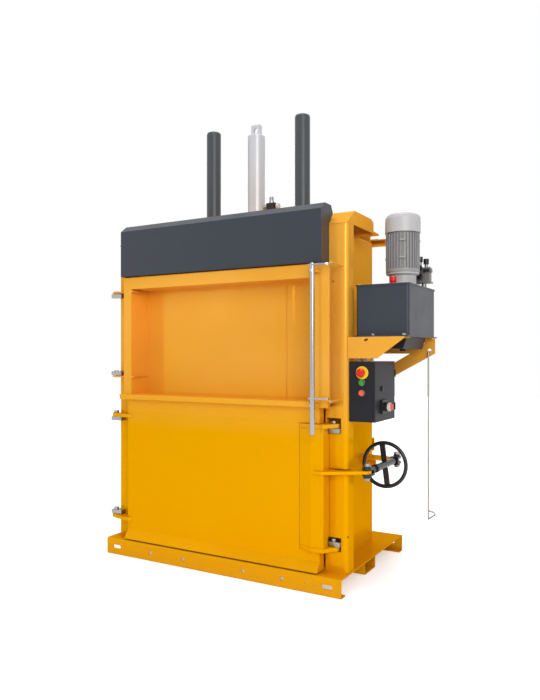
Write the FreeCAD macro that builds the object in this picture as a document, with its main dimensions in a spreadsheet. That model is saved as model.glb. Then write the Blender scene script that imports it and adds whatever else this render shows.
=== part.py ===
import FreeCAD, Part
import math
import os

import Sketcher

# Recycling baler: a vertical press that squeezes waste into a bale behind a filling door and a bale door.
# Frame: X to the right, Y to the back, Z up, in millimetres. The origin is at the middle of the base's
# underside. Every driving size is a cell of the sheet "Sizes"; all places are worked out from those cells.

os.makedirs("parts", exist_ok=True)

Vector = FreeCAD.Vector
Rotation = FreeCAD.Rotation
UP = Vector(0, 0, 1)
FULL_TURN = 360.0
QUARTER_TURN = 90.0
TOLERANCE = 0.01
OVERRUN = 1.0  # how far a cutter runs past a face
SINK = 1.0  # how far a welded piece goes into its neighbour
GROOVE_STEPS = (-1.5, -0.5, 0.5, 1.5)  # places of the strap grooves, in pitches from the middle

SIZES = {
    # base
    "base_width": 1400, "base_depth": 852, "base_height": 88, "base_sheet": 6, "base_lip": 50,
    "bend_radius": 9, "centre_beam_width": 146, "centre_beam_inset": 29, "centre_beam_middle": 6,
    "web_slot_length": 55, "web_slot_height": 20, "web_slot_end": 70, "web_hole": 19,
    "web_hole_inner": 182, "web_hole_outer": 397, "web_pin_hole": 8, "web_pin_end": 129,
    "web_pin_pitch": 47,
    # posts, walls and head
    "post_inset": 7, "post_width": 109, "post_depth": 76, "post_setback": 88, "post_sheet": 6,
    "post_corner": 20, "post_top": 1704, "wall_sheet": 6, "wall_back": 263,
    "side_hole": 12, "side_hole_inset": 15, "side_hole_height": 255, "front_hole": 8,
    "front_hole_drop": 78, "front_hole_inset": 37,
    "rail_depth": 37, "rail_height": 35, "rail_end": 30, "floor_sheet": 14, "groove_width": 30,
    "groove_depth": 8, "groove_pitch": 250, "head_drop": 64, "head_rise": 67, "head_gap": 12,
    "head_sheet": 8, "hood_sheet": 4, "hood_lip": 8, "hood_edge": 1, "hood_slope": 89,
    "hood_crown": 40, "hood_step": 3, "hood_end": 73,
    # header cover
    "cover_overlap": 18, "cover_drop": 187, "cover_rise": 91, "cover_bevel": 33,
    "cover_bevel_depth": 43, "cover_sheet": 3, "cover_gap": 0.5,
    # ram
    "ram_line": 8, "guide_spacing": 574, "guide_radius": 41, "guide_tube_wall": 6, "guide_rise": 606,
    "guide_crown": 14, "guide_crown_edge": 12, "guide_shoulder": 5, "bush_wall": 9, "bush_drop": 12,
    "flange_width": 26, "flange_height": 16, "barrel_radius": 48.5, "bore_radius": 40,
    "barrel_drop": 70, "barrel_rise": 514, "barrel_chamfer": 4, "gland_height": 36, "gland_lip": 10,
    "gland_inset": 3, "piston_height": 50, "rod_radius": 25, "running_gap": 0.05,
    "platen_margin": 16, "platen_back": 250, "platen_drop": 110, "platen_height": 90,
    "platen_sheet": 12, "platen_rib": 55, "platen_pad": 75, "lug_height": 86, "lug_width": 62,
    "lug_thickness": 30, "lug_hole": 17,
    "port_rise": 165, "port_block": 50, "port_block_half": 24, "port_boss": 13, "port_nut": 17,
    "port_nut_length": 15, "port_stub": 11, "port_stub_length": 46, "port_cap": 9,
    "port_cap_length": 14, "port_side": 8, "port_side_length": 20,
    # filling door
    "filling_overlap_left": 9, "filling_overlap_right": 50, "filling_setback": 14, "pan_left_inset": 44,
    "pan_right_inset": 48, "pan_gap": 12, "door_sheet": 5, "door_gap": 4, "filling_top_gap": 5,
    "top_rail": 63, "ledge_overlap": 27, "ledge_end": 52, "ledge_top": 880, "ledge_drop": 28,
    "flute_place": 197, "flute_width": 50, "flute_depth": 6, "flute_slope": 12, "gusset_width": 12,
    "gusset_reach": 80,
    # bale door
    "bale_gap_left": 1, "bale_gap_right": 7, "bale_setback": 36, "bale_knee_rise": 52, "bale_rise": 7,
    "lock_notch_inset": 112, "seam_gap": 1.5, "bale_stiffener": 15, "bale_stiffener_place": 250,
    # hinges of the doors
    "hinge_offset": 2, "hinge_reach": 20, "hinge_knuckle": 22, "hinge_plate": 18, "thin_plate": 8,
    "hinge_nose": 15, "block_height": 22, "block_width": 72, "block_depth": 38, "pin_radius": 9,
    "pin_head": 14, "pin_head_height": 12, "pin_chamfer": 2, "low_head_height": 5,
    "bale_block_rise": 68, "bale_block_drop": 124, "filling_block_rise": 100,
    "filling_block_drop": 102, "washer_gap": 2,
    # lock
    "lock_pivot_inset": 40, "lock_reach": 3, "lock_rise": 67, "lock_drop": 95, "lock_setback": 16,
    "lock_slope": 68, "lock_face_end": 20, "lock_sheet": 8, "lock_plate": 18, "lock_plate_lip": 4,
    "lock_knuckle": 28, "window_width": 75, "window_gap": 5, "window_head": 14, "lever_thickness": 14,
    "lever_setback": 1, "lever_overlap": 44, "lever_nose": 40, "lever_shoulder": 24, "lever_play": 4,
    # turnbuckle and handwheel
    "link_offset": 75, "lever_swing": 50, "link_back_gap": 130, "link_rise": 73, "bolt_radius": 10,
    "bolt_head_radius": 16, "bolt_head_height": 9, "bolt_end": 12, "fork_width": 44, "fork_gap": 17,
    "fork_cheek": 10, "fork_throat": 33, "fork_foot": 12, "thread_radius": 12, "thread_reach": 50,
    "tube_radius": 17, "collar_radius": 20, "collar_length": 30, "collar_chamfer": 2,
    "tube_front_gap": 103, "tube_back_gap": 67, "spigot_length": 60, "thread_gap": 0.3,
    "wheel_gap": 180, "wheel_radius": 107, "rim_radius": 9.5, "spoke_width": 27,
    "spoke_thickness": 8, "spoke_tilt": 10, "arm_depth": 65, "arm_web": 8, "arm_web_height": 60,
    "arm_web_reach": 70,
    # latch rod
    "latch_inset": 8, "latch_reach": 38, "latch_radius": 11, "latch_drop": 120, "latch_top_gap": 3,
    "latch_chamfer": 2, "arm_tail": 16, "arm_reach": 81, "arm_width": 20, "arm_thickness": 8,
    "arm_top_gap": 13, "arm_rise": 14, "keeper_gap": 5, "keeper_radius": 5, "keeper_end": 6,
    "keeper_drop": 8, "keeper_lift": 9, "guide_plate": 12, "guide_width": 32, "guide_lift": 8,
    "guide_drop": 28,
    # power pack
    "bracket_setback": 8, "bracket_sheet": 6, "bracket_height": 98, "bracket_top": 1176,
    "bracket_inset": 12, "bracket_knee_end": 139, "bracket_flange": 90, "bracket_nose": 50,
    "bracket_hole": 12, "bracket_hole_end": 22, "bracket_hole_rise": 30,
    "brace_inset": 8, "brace_overhang": 4, "brace_drop": 76, "brace_depth": 299, "brace_width": 67,
    "brace_knee": 50, "brace_knee_run": 78, "brace_flange": 46, "spare_hole": 13, "spare_hole_run": 33,
    "spare_hole_rise": 38, "tank_offset": 27, "tank_width": 251, "tank_margin": 30, "tank_depth": 408,
    "tank_foot": 6, "tank_foot_back": 24, "tank_height": 234, "tank_sheet": 4, "tank_corner": 12,
    "tank_rim": 3, "tank_rim_height": 8, "tank_bolt": 9, "tank_bolt_height": 8, "tank_washer": 11,
    "tank_washer_height": 2, "tank_bolt_end": 18, "tank_bolt_left": 90, "tank_bolt_gap": 15,
    "sump_drop": 54, "sump_inset": 30, "sump_front": 62, "sump_back": 42, "sump_slope": 18,
    "plug_radius": 14, "plug_height": 10, "cap_place": 80, "cap_flange": 20, "cap_radius": 16.5,
    "cap_neck": 13, "cap_step": 6, "cap_height": 39,
    "motor_offset": 150, "motor_setback": 220, "motor_radius": 80, "cowl_radius": 84,
    "cowl_height": 90, "cowl_sheet": 3, "cowl_crown": 22, "cowl_eye": 52, "grille_bar": 4,
    "grille_pitch": 18, "fins_length": 172, "shield_height": 16, "bell_height": 70, "bell_radius": 78,
    "bell_waist": 14, "bell_flange": 10, "fin_count": 32, "fin_depth": 10, "fin_width": 4,
    "boss_width": 28, "boss_height": 9, "boss_rise": 2, "boss_low": 62, "boss_pitch": 82,
    "boss_turn": 18, "shaft_radius": 12, "fan_radius": 66, "fan_hub": 26, "fan_hub_height": 30,
    "fan_disc": 4, "fan_blade": 34, "fan_rise": 14, "shaft_drop": 8, "shaft_length": 60,
    "terminal_width": 84, "terminal_shift": 25, "terminal_height": 80, "terminal_depth": 36,
    "terminal_lid": 6, "terminal_rim": 3, "terminal_rise": 40,
    # valve block beside the motor
    "valve_left": 42, "valve_setback": 80, "valve_width": 66, "valve_depth": 30, "valve_lift": 31,
    "valve_height": 70, "valve_flange": 7, "valve_flange_rim": 6, "valve_foot": 12,
    "valve_stem": 8, "valve_stem_height": 28, "valve_knob": 13, "valve_knob_height": 26,
    "valve_knob_pitch": 30, "valve_knob_inset": 14, "valve_knob_step": 12, "valve_port": 11,
    "valve_port_length": 6, "valve_port_drop": 16, "coil_radius": 12, "coil_inset": 14,
    "coil_height": 62, "dial_radius": 14, "dial_length": 14, "dial_inset": 10, "dial_low": 34,
    "clamp_width": 30, "clamp_height": 14, "clamp_depth": 10,
    # control box
    "box_width": 126, "box_setback": 21, "box_depth": 271, "box_drop": 15, "box_height": 276,
    "box_sheet": 3, "lid_depth": 12, "lid_pin_radius": 4, "lid_pin_length": 36, "lid_pin_end": 40,
    "button_inset": 64, "stop_drop": 51, "start_pitch": 45, "reset_pitch": 47, "bezel_radius": 15,
    "bezel_height": 6, "bezel_edge": 1, "stop_plate_radius": 30, "stop_plate_height": 3,
    "mushroom_radius": 20, "mushroom_low": 11, "mushroom_height": 21, "cap_top": 16, "cap_edge": 4,
    "stem_radius": 8, "stem_length": 20, "switch_setback": 104, "switch_rise": 66,
    "switch_plate": 32, "switch_plate_height": 10, "switch_collar": 21, "switch_collar_height": 16,
    "switch_disc": 20, "switch_disc_height": 12, "switch_hub": 14, "switch_hub_height": 10,
    "switch_grip": 36, "switch_grip_width": 10, "switch_grip_height": 16,
    "lid_lock_setback": 91, "lid_lock_rise": 150, "lid_lock_radius": 12, "lid_lock_height": 6,
    "lid_lock_slot": 16, "lid_lock_slot_width": 3, "gland_pitch": 32, "gland_setback": 40,
    "gland_hexagon": 11, "gland_nut": 7, "gland_stem": 8, "gland_stem_height": 8,
    # hook tool
    "tool_inset": 27, "tool_drop": 61, "tool_radius": 4, "tool_hole": 10, "tool_length": 834,
    "tool_grip": 42, "tool_grip_reach": 34, "tool_grip_nose": 16, "tool_hook": 22, "tool_hook_end": 6,
}

doc = FreeCAD.newDocument("RecyclingBaler")
sheet = doc.addObject("Spreadsheet::Sheet", "Sizes")


class Size:
    """A size of the sheet, or one worked out from others: its number and its cell expression."""

    def __init__(self, number, text):
        self.number = float(number)
        self.text = text

    def __add__(self, other):
        other = as_size(other)
        return Size(self.number + other.number, f"({self.text} + {other.text})")

    def __sub__(self, other):
        other = as_size(other)
        return Size(self.number - other.number, f"({self.text} - {other.text})")

    def __mul__(self, other):
        other = as_size(other)
        return Size(self.number * other.number, f"({self.text} * {other.text})")

    def __truediv__(self, other):
        other = as_size(other)
        return Size(self.number / other.number, f"({self.text} / {other.text})")

    def __neg__(self):
        return Size(-self.number, f"(0 - {self.text})")

    def __radd__(self, other):
        return as_size(other) + self

    def __rsub__(self, other):
        return as_size(other) - self

    def __rmul__(self, other):
        return as_size(other) * self

    def __float__(self):
        return self.number


def as_size(value):
    """A plain number is a size too."""
    return value if isinstance(value, Size) else Size(value, f"{float(value):.6f}")


class Table:
    """Reads the sheet's cells by their names."""

    def __getattr__(self, name):
        return Size(SIZES[name], "Sizes." + name)


def fill_sheet():
    """Writes every driving size into the sheet, one row each, with its name beside it."""
    for row, (name, number) in enumerate(SIZES.items(), 1):
        sheet.set(f"A{row}", name)
        sheet.set(f"B{row}", str(number))
        sheet.setAlias(f"B{row}", name)
    doc.recompute()


fill_sheet()
s = Table()
NODES = []


def node(thing, name):
    """Marks a finished sub-part and gives it its name."""
    thing.Label = name
    NODES.append(thing)
    return thing


def bind(thing, **sizes):
    """Ties properties to cells; a double underscore stands for a dot in the property's path."""
    for path, size in sizes.items():
        thing.setExpression(path.replace("__", "."), as_size(size).text)


def place(thing, point, rotation=None):
    """Puts a thing at a point worked out from the sheet, turned if a rotation is given."""
    if rotation is not None:
        thing.Placement = FreeCAD.Placement(Vector(), rotation)
    bind(thing, Placement__Base__x=point[0], Placement__Base__y=point[1], Placement__Base__z=point[2])
    return thing


TURN_TO = {
    "X": Rotation(Vector(0, 1, 0), 90),
    "Y": Rotation(Vector(1, 0, 0), -90),
    "Z": Rotation(),
}


def box(low, high, name="block"):
    """A block between two corners."""
    block = doc.addObject("Part::Box", name)
    low = [as_size(value) for value in low]
    bind(block, Length=high[0] - low[0], Width=high[1] - low[1], Height=high[2] - low[2])
    return place(block, low)


def rod(start, radius, length, axis="Z", name="rod"):
    """A round bar that starts at a point and runs along an axis."""
    bar = doc.addObject("Part::Cylinder", name)
    bind(bar, Radius=radius, Height=length)
    return place(bar, start, TURN_TO[axis])


def fuse(parts, name="joined"):
    """Parts welded into one."""
    joined = doc.addObject("Part::MultiFuse", name)
    joined.Shapes = parts
    joined.Refine = True
    return joined


def cut(base, tools, name="cut"):
    """A base with tools taken away from it."""
    result = doc.addObject("Part::Cut", name)
    result.Base = base
    result.Tool = tools[0] if len(tools) == 1 else fuse(tools, "tools")
    result.Refine = True
    return result


def together(parts, name="group"):
    """Like pieces that share one node as separate solids."""
    group = doc.addObject("Part::Compound", name)
    group.Links = parts
    return group


def new_sketch(body, plane, outlines, circles=()):
    """A sketch of closed outlines and circles whose every point is tied to the sheet."""
    sketch = body.newObject("Sketcher::SketchObject", body.Name + "_sketch")
    support = next(f for f in body.Origin.OriginFeatures if f.Role == plane + "_Plane")
    sketch.AttachmentSupport = [(support, "")]
    sketch.MapMode = "FlatFace"
    ties = []
    for outline in outlines:
        points = [(as_size(u), as_size(v)) for u, v in outline]
        first = sketch.GeometryCount
        corners = [Vector(u.number, v.number, 0) for u, v in points]
        count = len(points)
        for index in range(count):
            sketch.addGeometry(Part.LineSegment(corners[index], corners[(index + 1) % count]), False)
        for index in range(count):
            following = first + (index + 1) % count
            sketch.addConstraint(Sketcher.Constraint("Coincident", first + index, 2, following, 1))
        for index, (u, v) in enumerate(points):
            for kind, size in (("DistanceX", u), ("DistanceY", v)):
                tie = Sketcher.Constraint(kind, -1, 1, first + index, 1, size.number)
                ties.append((sketch.addConstraint(tie), size))
    for u, v, radius in circles:
        centre = (as_size(u), as_size(v))
        radius = as_size(radius)
        middle = Vector(centre[0].number, centre[1].number, 0)
        circle = sketch.addGeometry(Part.Circle(middle, Vector(0, 0, 1), radius.number), False)
        for kind, size in (("DistanceX", centre[0]), ("DistanceY", centre[1])):
            tie = Sketcher.Constraint(kind, -1, 1, circle, 3, size.number)
            ties.append((sketch.addConstraint(tie), size))
        tie = Sketcher.Constraint("Radius", circle, radius.number)
        ties.append((sketch.addConstraint(tie), radius))
    for number, size in ties:
        sketch.setExpression(f"Constraints[{number}]", size.text)
    return sketch


PLANE_NORMAL = {"XY": Vector(0, 0, 1), "XZ": Vector(0, 1, 0), "YZ": Vector(1, 0, 0)}
PLANE_POINT = {
    "XY": lambda u, v: Vector(u, v, 0),
    "XZ": lambda u, v: Vector(u, 0, v),
    "YZ": lambda u, v: Vector(0, u, v),
}


def corner_edges(feature, plane, corners):
    """Names of the straight edges that the given corners of a profile leave along its pad."""
    normal = PLANE_NORMAL[plane]
    names = []
    for number, edge in enumerate(feature.Shape.Edges, 1):
        start = edge.Vertexes[0].Point
        run = edge.Vertexes[-1].Point - start
        if run.Length < TOLERANCE or run.cross(normal).Length > TOLERANCE * run.Length:
            continue
        for u, v in corners:
            away = start - PLANE_POINT[plane](float(u), float(v))
            if (away - normal * away.dot(normal)).Length < TOLERANCE:
                names.append(f"Edge{number}")
    return names


def padded(plane, outlines, length, at=0.0, circles=(), rounds=(), symmetric=False, name="profile"):
    """A profile padded square to its plane, from the place given by "at" in the positive direction.

    rounds is a list of (radius, corners of the profile) whose edges are rounded.
    """
    body = doc.addObject("PartDesign::Body", name)
    sketch = new_sketch(body, plane, outlines, circles)
    pad = body.newObject("PartDesign::Pad", body.Name + "_pad")
    pad.Profile = sketch
    pad.SideType = "Symmetric" if symmetric else "One side"
    bind(pad, Length=length)
    feature = pad
    for radius, corners in rounds:
        doc.recompute()
        fillet = body.newObject("PartDesign::Fillet", body.Name + "_round")
        fillet.Base = (feature, corner_edges(feature, plane, corners))
        bind(fillet, Radius=radius)
        feature = fillet
    body.Tip = feature
    start = as_size(at) + (length if plane == "XZ" and not symmetric else 0)
    axis = {"XY": "z", "XZ": "y", "YZ": "x"}[plane]
    body.setExpression("Placement.Base." + axis, start.text)
    return body


def turned(outline, point=(0, 0, 0), rotation=None, name="turned"):
    """A profile of radius and height turned about its own upright axis, then put in its place."""
    body = doc.addObject("PartDesign::Body", name)
    sketch = new_sketch(body, "XZ", [outline])
    spun = body.newObject("PartDesign::Revolution", body.Name + "_spun")
    spun.Profile = sketch
    spun.ReferenceAxis = (sketch, ["V_Axis"])
    spun.Angle = FULL_TURN
    body.Tip = spun
    return place(body, point, rotation)


def rectangle(left, low, right, high):
    """The four corners of a rectangle."""
    return [(left, low), (right, low), (right, high), (left, high)]


def mirrored_x(outline):
    """An outline seen in a mirror across the middle plane."""
    return [(-u if isinstance(u, Size) else -1.0 * u, v) for u, v in outline]


# Places that many pieces share: across the width
post_reach = s.base_width / 2 - s.post_inset
post_inner = post_reach - s.post_width
wall_outer = post_inner
wall_inner = wall_outer - s.wall_sheet
cover_reach = post_inner + s.cover_overlap
filling_left = -post_inner - s.filling_overlap_left
filling_right = post_inner + s.filling_overlap_right
pan_left = s.pan_left_inset - post_inner
pan_right = post_inner - s.pan_right_inset
bale_left = s.bale_gap_left - post_inner
bale_right = post_inner - s.bale_gap_right
lock_notch = post_inner - s.lock_notch_inset
hinge_left = -post_reach - s.hinge_offset
lock_pivot = post_inner + s.lock_pivot_inset
lock_tip = lock_notch + s.seam_gap
lock_corner = lock_tip + s.lock_slope
lock_right = lock_pivot - s.lock_face_end
lever_left = lock_right - s.lever_overlap
link_line = post_reach + s.link_offset
latch_line = post_inner - s.latch_inset
arm_left = latch_line - s.arm_tail
arm_right = latch_line + s.arm_reach
tank_left = post_reach + s.tank_offset
tank_right = tank_left + s.tank_width
bracket_right = tank_right - s.bracket_inset
brace_right = tank_right + s.brace_overhang
motor_line = tank_left + s.motor_offset
box_left = post_reach
box_right = box_left + s.box_width
button_line = box_left + s.button_inset
tool_right = brace_right - s.tool_inset
bush_radius = s.guide_radius + s.bush_wall

# from the front to the back
front = -s.base_depth / 2
post_front = front + s.post_setback
post_back = post_front + s.post_depth
back_inner = s.wall_back - s.wall_sheet
head_front = post_back + s.head_gap
platen_front = post_back
door_back = post_front - s.door_gap
filling_front = front + s.filling_setback
pan_back = post_back - s.pan_gap
pan_inside = pan_back + s.door_sheet
bale_front = front + s.bale_setback
hinge_line = post_front - s.hinge_reach
lock_line = post_front + s.lock_reach
lock_front = front + s.lock_setback
lever_front = front + s.lever_setback
link_front = lock_line + s.lever_swing
link_back = s.wall_back - s.link_back_gap
tube_front = link_front + s.tube_front_gap
tube_back = link_back - s.tube_back_gap
wheel_place = link_back - s.wheel_gap
latch_front = front - s.latch_reach
bracket_front = post_front + s.bracket_setback
tank_front = bracket_front + s.tank_margin
tank_back = tank_front + s.tank_depth
motor_middle = tank_front + s.motor_setback
brace_line = tank_back - s.brace_inset
box_front = post_front + s.box_setback
box_back = box_front + s.box_depth
switch_line = box_front + s.switch_setback

# upward
floor_top = s.base_height + s.floor_sheet
head_low = s.post_top - s.head_drop
head_high = s.post_top + s.head_rise
cover_low = s.post_top - s.cover_drop
cover_high = s.post_top + s.cover_rise
barrel_low = head_low - s.barrel_drop
barrel_high = head_high + s.barrel_rise
guide_top = head_high + s.guide_rise
platen_low = barrel_low - s.platen_drop
platen_top = platen_low + s.platen_height
ledge_low = s.ledge_top - s.ledge_drop
filling_top = cover_low - s.filling_top_gap
rail_low = filling_top - s.top_rail
bale_knee = s.base_height + s.bale_knee_rise
bale_low = s.base_height + s.bale_rise
lock_low = bale_knee + s.lock_rise
lock_high = ledge_low - s.lock_drop
link_height = (lock_low + lock_high) / 2 + s.link_rise
lever_low = link_height - s.lever_thickness / 2
lever_high = link_height + s.lever_thickness / 2
latch_high = filling_top - s.latch_top_gap
latch_low = ledge_low - s.latch_drop
arm_low = s.ledge_top + s.arm_rise
arm_high = latch_high - s.arm_top_gap
bracket_low = s.bracket_top - s.bracket_height
tank_low = s.bracket_top + s.tank_foot
tank_high = tank_low + s.tank_height
shield_low = tank_high + s.bell_height
fins_low = shield_low + s.shield_height
cowl_low = fins_low + s.fins_length
cowl_high = cowl_low + s.cowl_height
box_high = bracket_low - s.box_drop
box_low = box_high - s.box_height
stop_height = box_high - s.stop_drop
start_height = stop_height - s.start_pitch
reset_height = start_height - s.reset_pitch
switch_height = box_low + s.switch_rise
tool_hang = s.bracket_top - s.tool_drop

# hinge blocks and plates: (underside of the block, underside of the door's plate)
BALE_HINGES = [
    (bale_knee + s.bale_block_rise, bale_knee + s.bale_block_rise - s.washer_gap - s.hinge_plate),
    (ledge_low - s.bale_block_drop, ledge_low - s.bale_block_drop + s.block_height + s.washer_gap),
]
FILLING_HINGES = [
    (s.ledge_top + s.filling_block_rise, s.ledge_top + s.filling_block_rise - s.washer_gap - s.thin_plate),
    (filling_top - s.filling_block_drop, filling_top - s.filling_block_drop + s.block_height + s.washer_gap),
]


# ---------------------------------------------------------------- base
def base_frame():
    """One sheet folded down at the front and back with lips turned in, and slots and holes in its webs."""
    outer = s.base_depth / 2
    skin = s.base_sheet
    inner = outer - skin
    lip = outer - s.base_lip
    top = s.base_height
    profile = [(-outer, 0), (-lip, 0), (-lip, skin), (-inner, skin), (-inner, top - skin),
               (inner, top - skin), (inner, skin), (lip, skin), (lip, 0), (outer, 0),
               (outer, top), (-outer, top)]
    bends = [(-outer, 0), (outer, 0), (outer, top), (-outer, top)]
    folded = padded("YZ", [profile], s.base_width, rounds=[(s.bend_radius, bends)], symmetric=True)
    through = s.base_depth + 2 * skin
    start = -outer - skin
    middle = s.base_height / 2
    radius = s.web_slot_height / 2
    half_run = (s.web_slot_length - s.web_slot_height) / 2
    tools = []
    for side in (-1, 1):
        slot_x = side * (s.base_width / 2 - s.web_slot_end)
        tools.append(box((slot_x - half_run, start, middle - radius),
                         (slot_x + half_run, start + through, middle + radius)))
        for shift in (-half_run, half_run):
            tools.append(rod((slot_x + shift, start, middle), radius, through, "Y"))
        for hole_x in (s.web_hole_inner, s.web_hole_outer):
            tools.append(rod((side * hole_x, start, middle), s.web_hole / 2, through, "Y"))
    for shift in (0, s.web_pin_pitch):
        hole_x = s.base_width / 2 - s.web_pin_end - shift
        tools.append(rod((hole_x, start, middle), s.web_pin_hole / 2, through, "Y"))
    return node(cut(folded, tools), "base_frame")


def centre_beam():
    """Channel with a flat underside along the base's middle, between the two fork pockets."""
    low = s.centre_beam_middle - s.centre_beam_width / 2
    high = s.centre_beam_middle + s.centre_beam_width / 2
    skin = s.base_sheet
    top = s.base_height - skin
    profile = [(low, 0), (high, 0), (high, top), (high - skin, top), (high - skin, skin), (low + skin, skin),
               (low + skin, top), (low, top)]
    length = s.base_width - 2 * s.centre_beam_inset
    beam = padded("YZ", [profile], length, rounds=[(s.bend_radius, [(low, 0), (high, 0)])], symmetric=True)
    return node(beam, "centre_beam")


# ---------------------------------------------------------------- posts and walls
def post(side, tools, name):
    """A square tube with a well rounded outer front corner."""
    outer = post_reach
    skin = s.post_sheet
    outside = rectangle(post_inner, post_front, outer, post_back)
    inside = rectangle(post_inner + skin, post_front + skin, outer - skin, post_back - skin)
    outlines = [outside, inside] if side > 0 else [mirrored_x(outside), mirrored_x(inside)]
    rounds = [(s.post_corner, [(side * outer, post_front)]),
              (s.post_corner - skin, [(side * (outer - skin), post_front + skin)])]
    folded = padded("XY", outlines, s.post_top - s.base_height, at=s.base_height, rounds=rounds)
    return node(cut(folded, tools) if tools else folded, name)


def lock_windows():
    """Cutters for the right post: two windows for the lock's pivots, the lever's slot and two holes."""
    skin = s.post_sheet
    play = s.window_gap
    left = post_inner + skin
    right = lock_pivot + s.window_width / 2
    low = lock_low - s.lock_plate - play
    head = lock_high + s.lock_plate + s.pin_head_height + s.window_head
    low_head = lock_low + s.washer_gap + s.block_height + s.pin_head_height + play
    windows = [(low, low_head), (lock_high - s.block_height - play, head)]
    tools = [box((left, post_front - skin, z_low), (right, post_front + skin + play, z_high))
             for z_low, z_high in windows]
    tools.append(box((left, post_front - play, lever_low - play),
                     (post_reach + play, post_back + play, lever_high + play)))
    tools.append(rod((post_reach - 2 * skin, post_front + s.side_hole_inset, s.side_hole_height),
                     s.side_hole / 2, 4 * skin, "X"))
    tools.append(rod((post_inner + s.front_hole_inset, post_front - skin, filling_top - s.front_hole_drop),
                     s.front_hole / 2, 3 * skin, "Y"))
    return tools


def wall(side, name):
    """Side sheet of the chamber with a flange turned in along its back edge."""
    flange = s.rail_depth
    start = post_front + s.post_sheet
    edge = wall_outer - flange
    outline = [(wall_inner, start), (wall_outer, start), (wall_outer, s.wall_back), (edge, s.wall_back),
               (edge, back_inner), (wall_inner, back_inner)]
    outline = outline if side > 0 else mirrored_x(outline)
    return node(padded("XY", [outline], s.post_top - s.base_height, at=s.base_height), name)


def back_wall():
    """Back sheet of the chamber, between the flanges of the side sheets."""
    reach = wall_outer - s.rail_depth
    sheet = box((-reach, back_inner, s.base_height), (reach, s.wall_back, s.post_top))
    return node(sheet, "back_wall")


def back_rails():
    """Channels across the outside of the back sheet; the top one reaches out past the walls."""
    rails = []
    skin = s.wall_sheet
    near = s.wall_back
    far = near + s.rail_depth
    tall = 2 * s.rail_height
    rows = [(s.post_top - s.rail_height / 2, s.rail_height, post_reach - s.rail_end),
            (s.post_top / 3, tall, wall_outer), (s.post_top * 2 / 3, tall, wall_outer)]
    for low, height, reach in rows:
        high = low + height
        outline = [(near, low), (far, low), (far, high), (near, high), (near, high - skin),
                   (far - skin, high - skin), (far - skin, low + skin), (near, low + skin)]
        rails.append(padded("YZ", [outline], 2 * reach, symmetric=True))
    return node(together(rails), "back_rails")


def chamber_floor():
    """Floor plate of the chamber with grooves that the baling straps run in."""
    edge = wall_inner
    low = s.base_height
    outline = [(-edge, low), (edge, low), (edge, floor_top)]
    for step in reversed(GROOVE_STEPS):
        outline += groove(s.groove_pitch * step, floor_top, -1)[::-1]
    outline += [(-edge, floor_top)]
    start = post_front + s.post_sheet
    return node(padded("XZ", [outline], back_inner - start, at=start), "chamber_floor")


def groove(middle, face, direction):
    """Four corners of a strap groove cut into a face, from left to right."""
    half = s.groove_width / 2
    depth = direction * s.groove_depth
    return [(middle - half, face), (middle - half, face + depth), (middle + half, face + depth),
            (middle + half, face)]


def head_beam():
    """Box beam between the walls that carries the cylinder and the guides."""
    skin = s.head_sheet
    outer = rectangle(head_front, head_low, back_inner, head_high)
    inner = rectangle(head_front + skin, head_low + skin, back_inner - skin, head_high - skin)
    tube = padded("YZ", [outer, inner], 2 * wall_inner, symmetric=True)
    depth = head_high - head_low + 2 * skin
    start = head_low - skin
    tools = [rod((0, s.ram_line, start), s.barrel_radius + s.cover_gap, depth)]
    for side in (-1, 1):
        tools.append(rod((side * s.guide_spacing / 2, s.ram_line, start), bush_radius, depth))
    return node(cut(tube, tools), "head_beam")


def head_hood(side, name):
    """Bevelled cap on a post's top that runs back along the wall and ends in a low lip."""
    low = s.post_top
    skin = s.hood_sheet
    high = head_high
    edge = post_front + s.hood_edge
    crown = edge + s.hood_slope
    end = -s.hood_step
    thick = 3 * skin
    outer = [(edge, low), (crown, high), (-s.hood_crown, high), (end, high - thick), (end, low + thick),
             (s.hood_end, low + s.hood_lip), (s.hood_end, low)]
    inner = [(edge + thick, low - skin), (edge + thick, low + skin), (crown + skin, high - skin),
             (-s.hood_crown - skin, high - skin), (end - skin, high - skin - thick),
             (end - skin, low - skin)]
    shell = padded("YZ", [outer], s.post_width)
    hollow = padded("YZ", [inner], s.post_width - 2 * skin, at=skin)
    hood = cut(shell, [hollow])
    return node(place(hood, (post_inner if side > 0 else -post_reach, 0, 0)), name)


def header_cover():
    """Folded cover over the head's front, bevelled along its top edges, with closed ends, open behind."""
    low = cover_low
    high = cover_high
    back = post_front - s.cover_gap
    skin = s.cover_sheet
    deep = s.cover_bevel_depth
    shoulder = high - s.cover_bevel
    outer = [(front, low), (back, low), (back, s.post_top), (back + deep, shoulder), (back + deep / 2, high),
             (front + deep, high), (front, shoulder)]
    beyond = back + 4 * deep
    inner = [(front + skin, low - skin), (beyond, low - skin), (beyond, shoulder - skin),
             (back + deep - skin, shoulder - skin), (back + deep / 2 - skin, high - skin),
             (front + deep + skin, high - skin), (front + skin, shoulder - skin / 2)]
    shell = padded("YZ", [outer], 2 * cover_reach, symmetric=True)
    hollow = padded("YZ", [inner], 2 * (cover_reach - skin), symmetric=True)
    return node(cut(shell, [hollow]), "header_cover")


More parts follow.
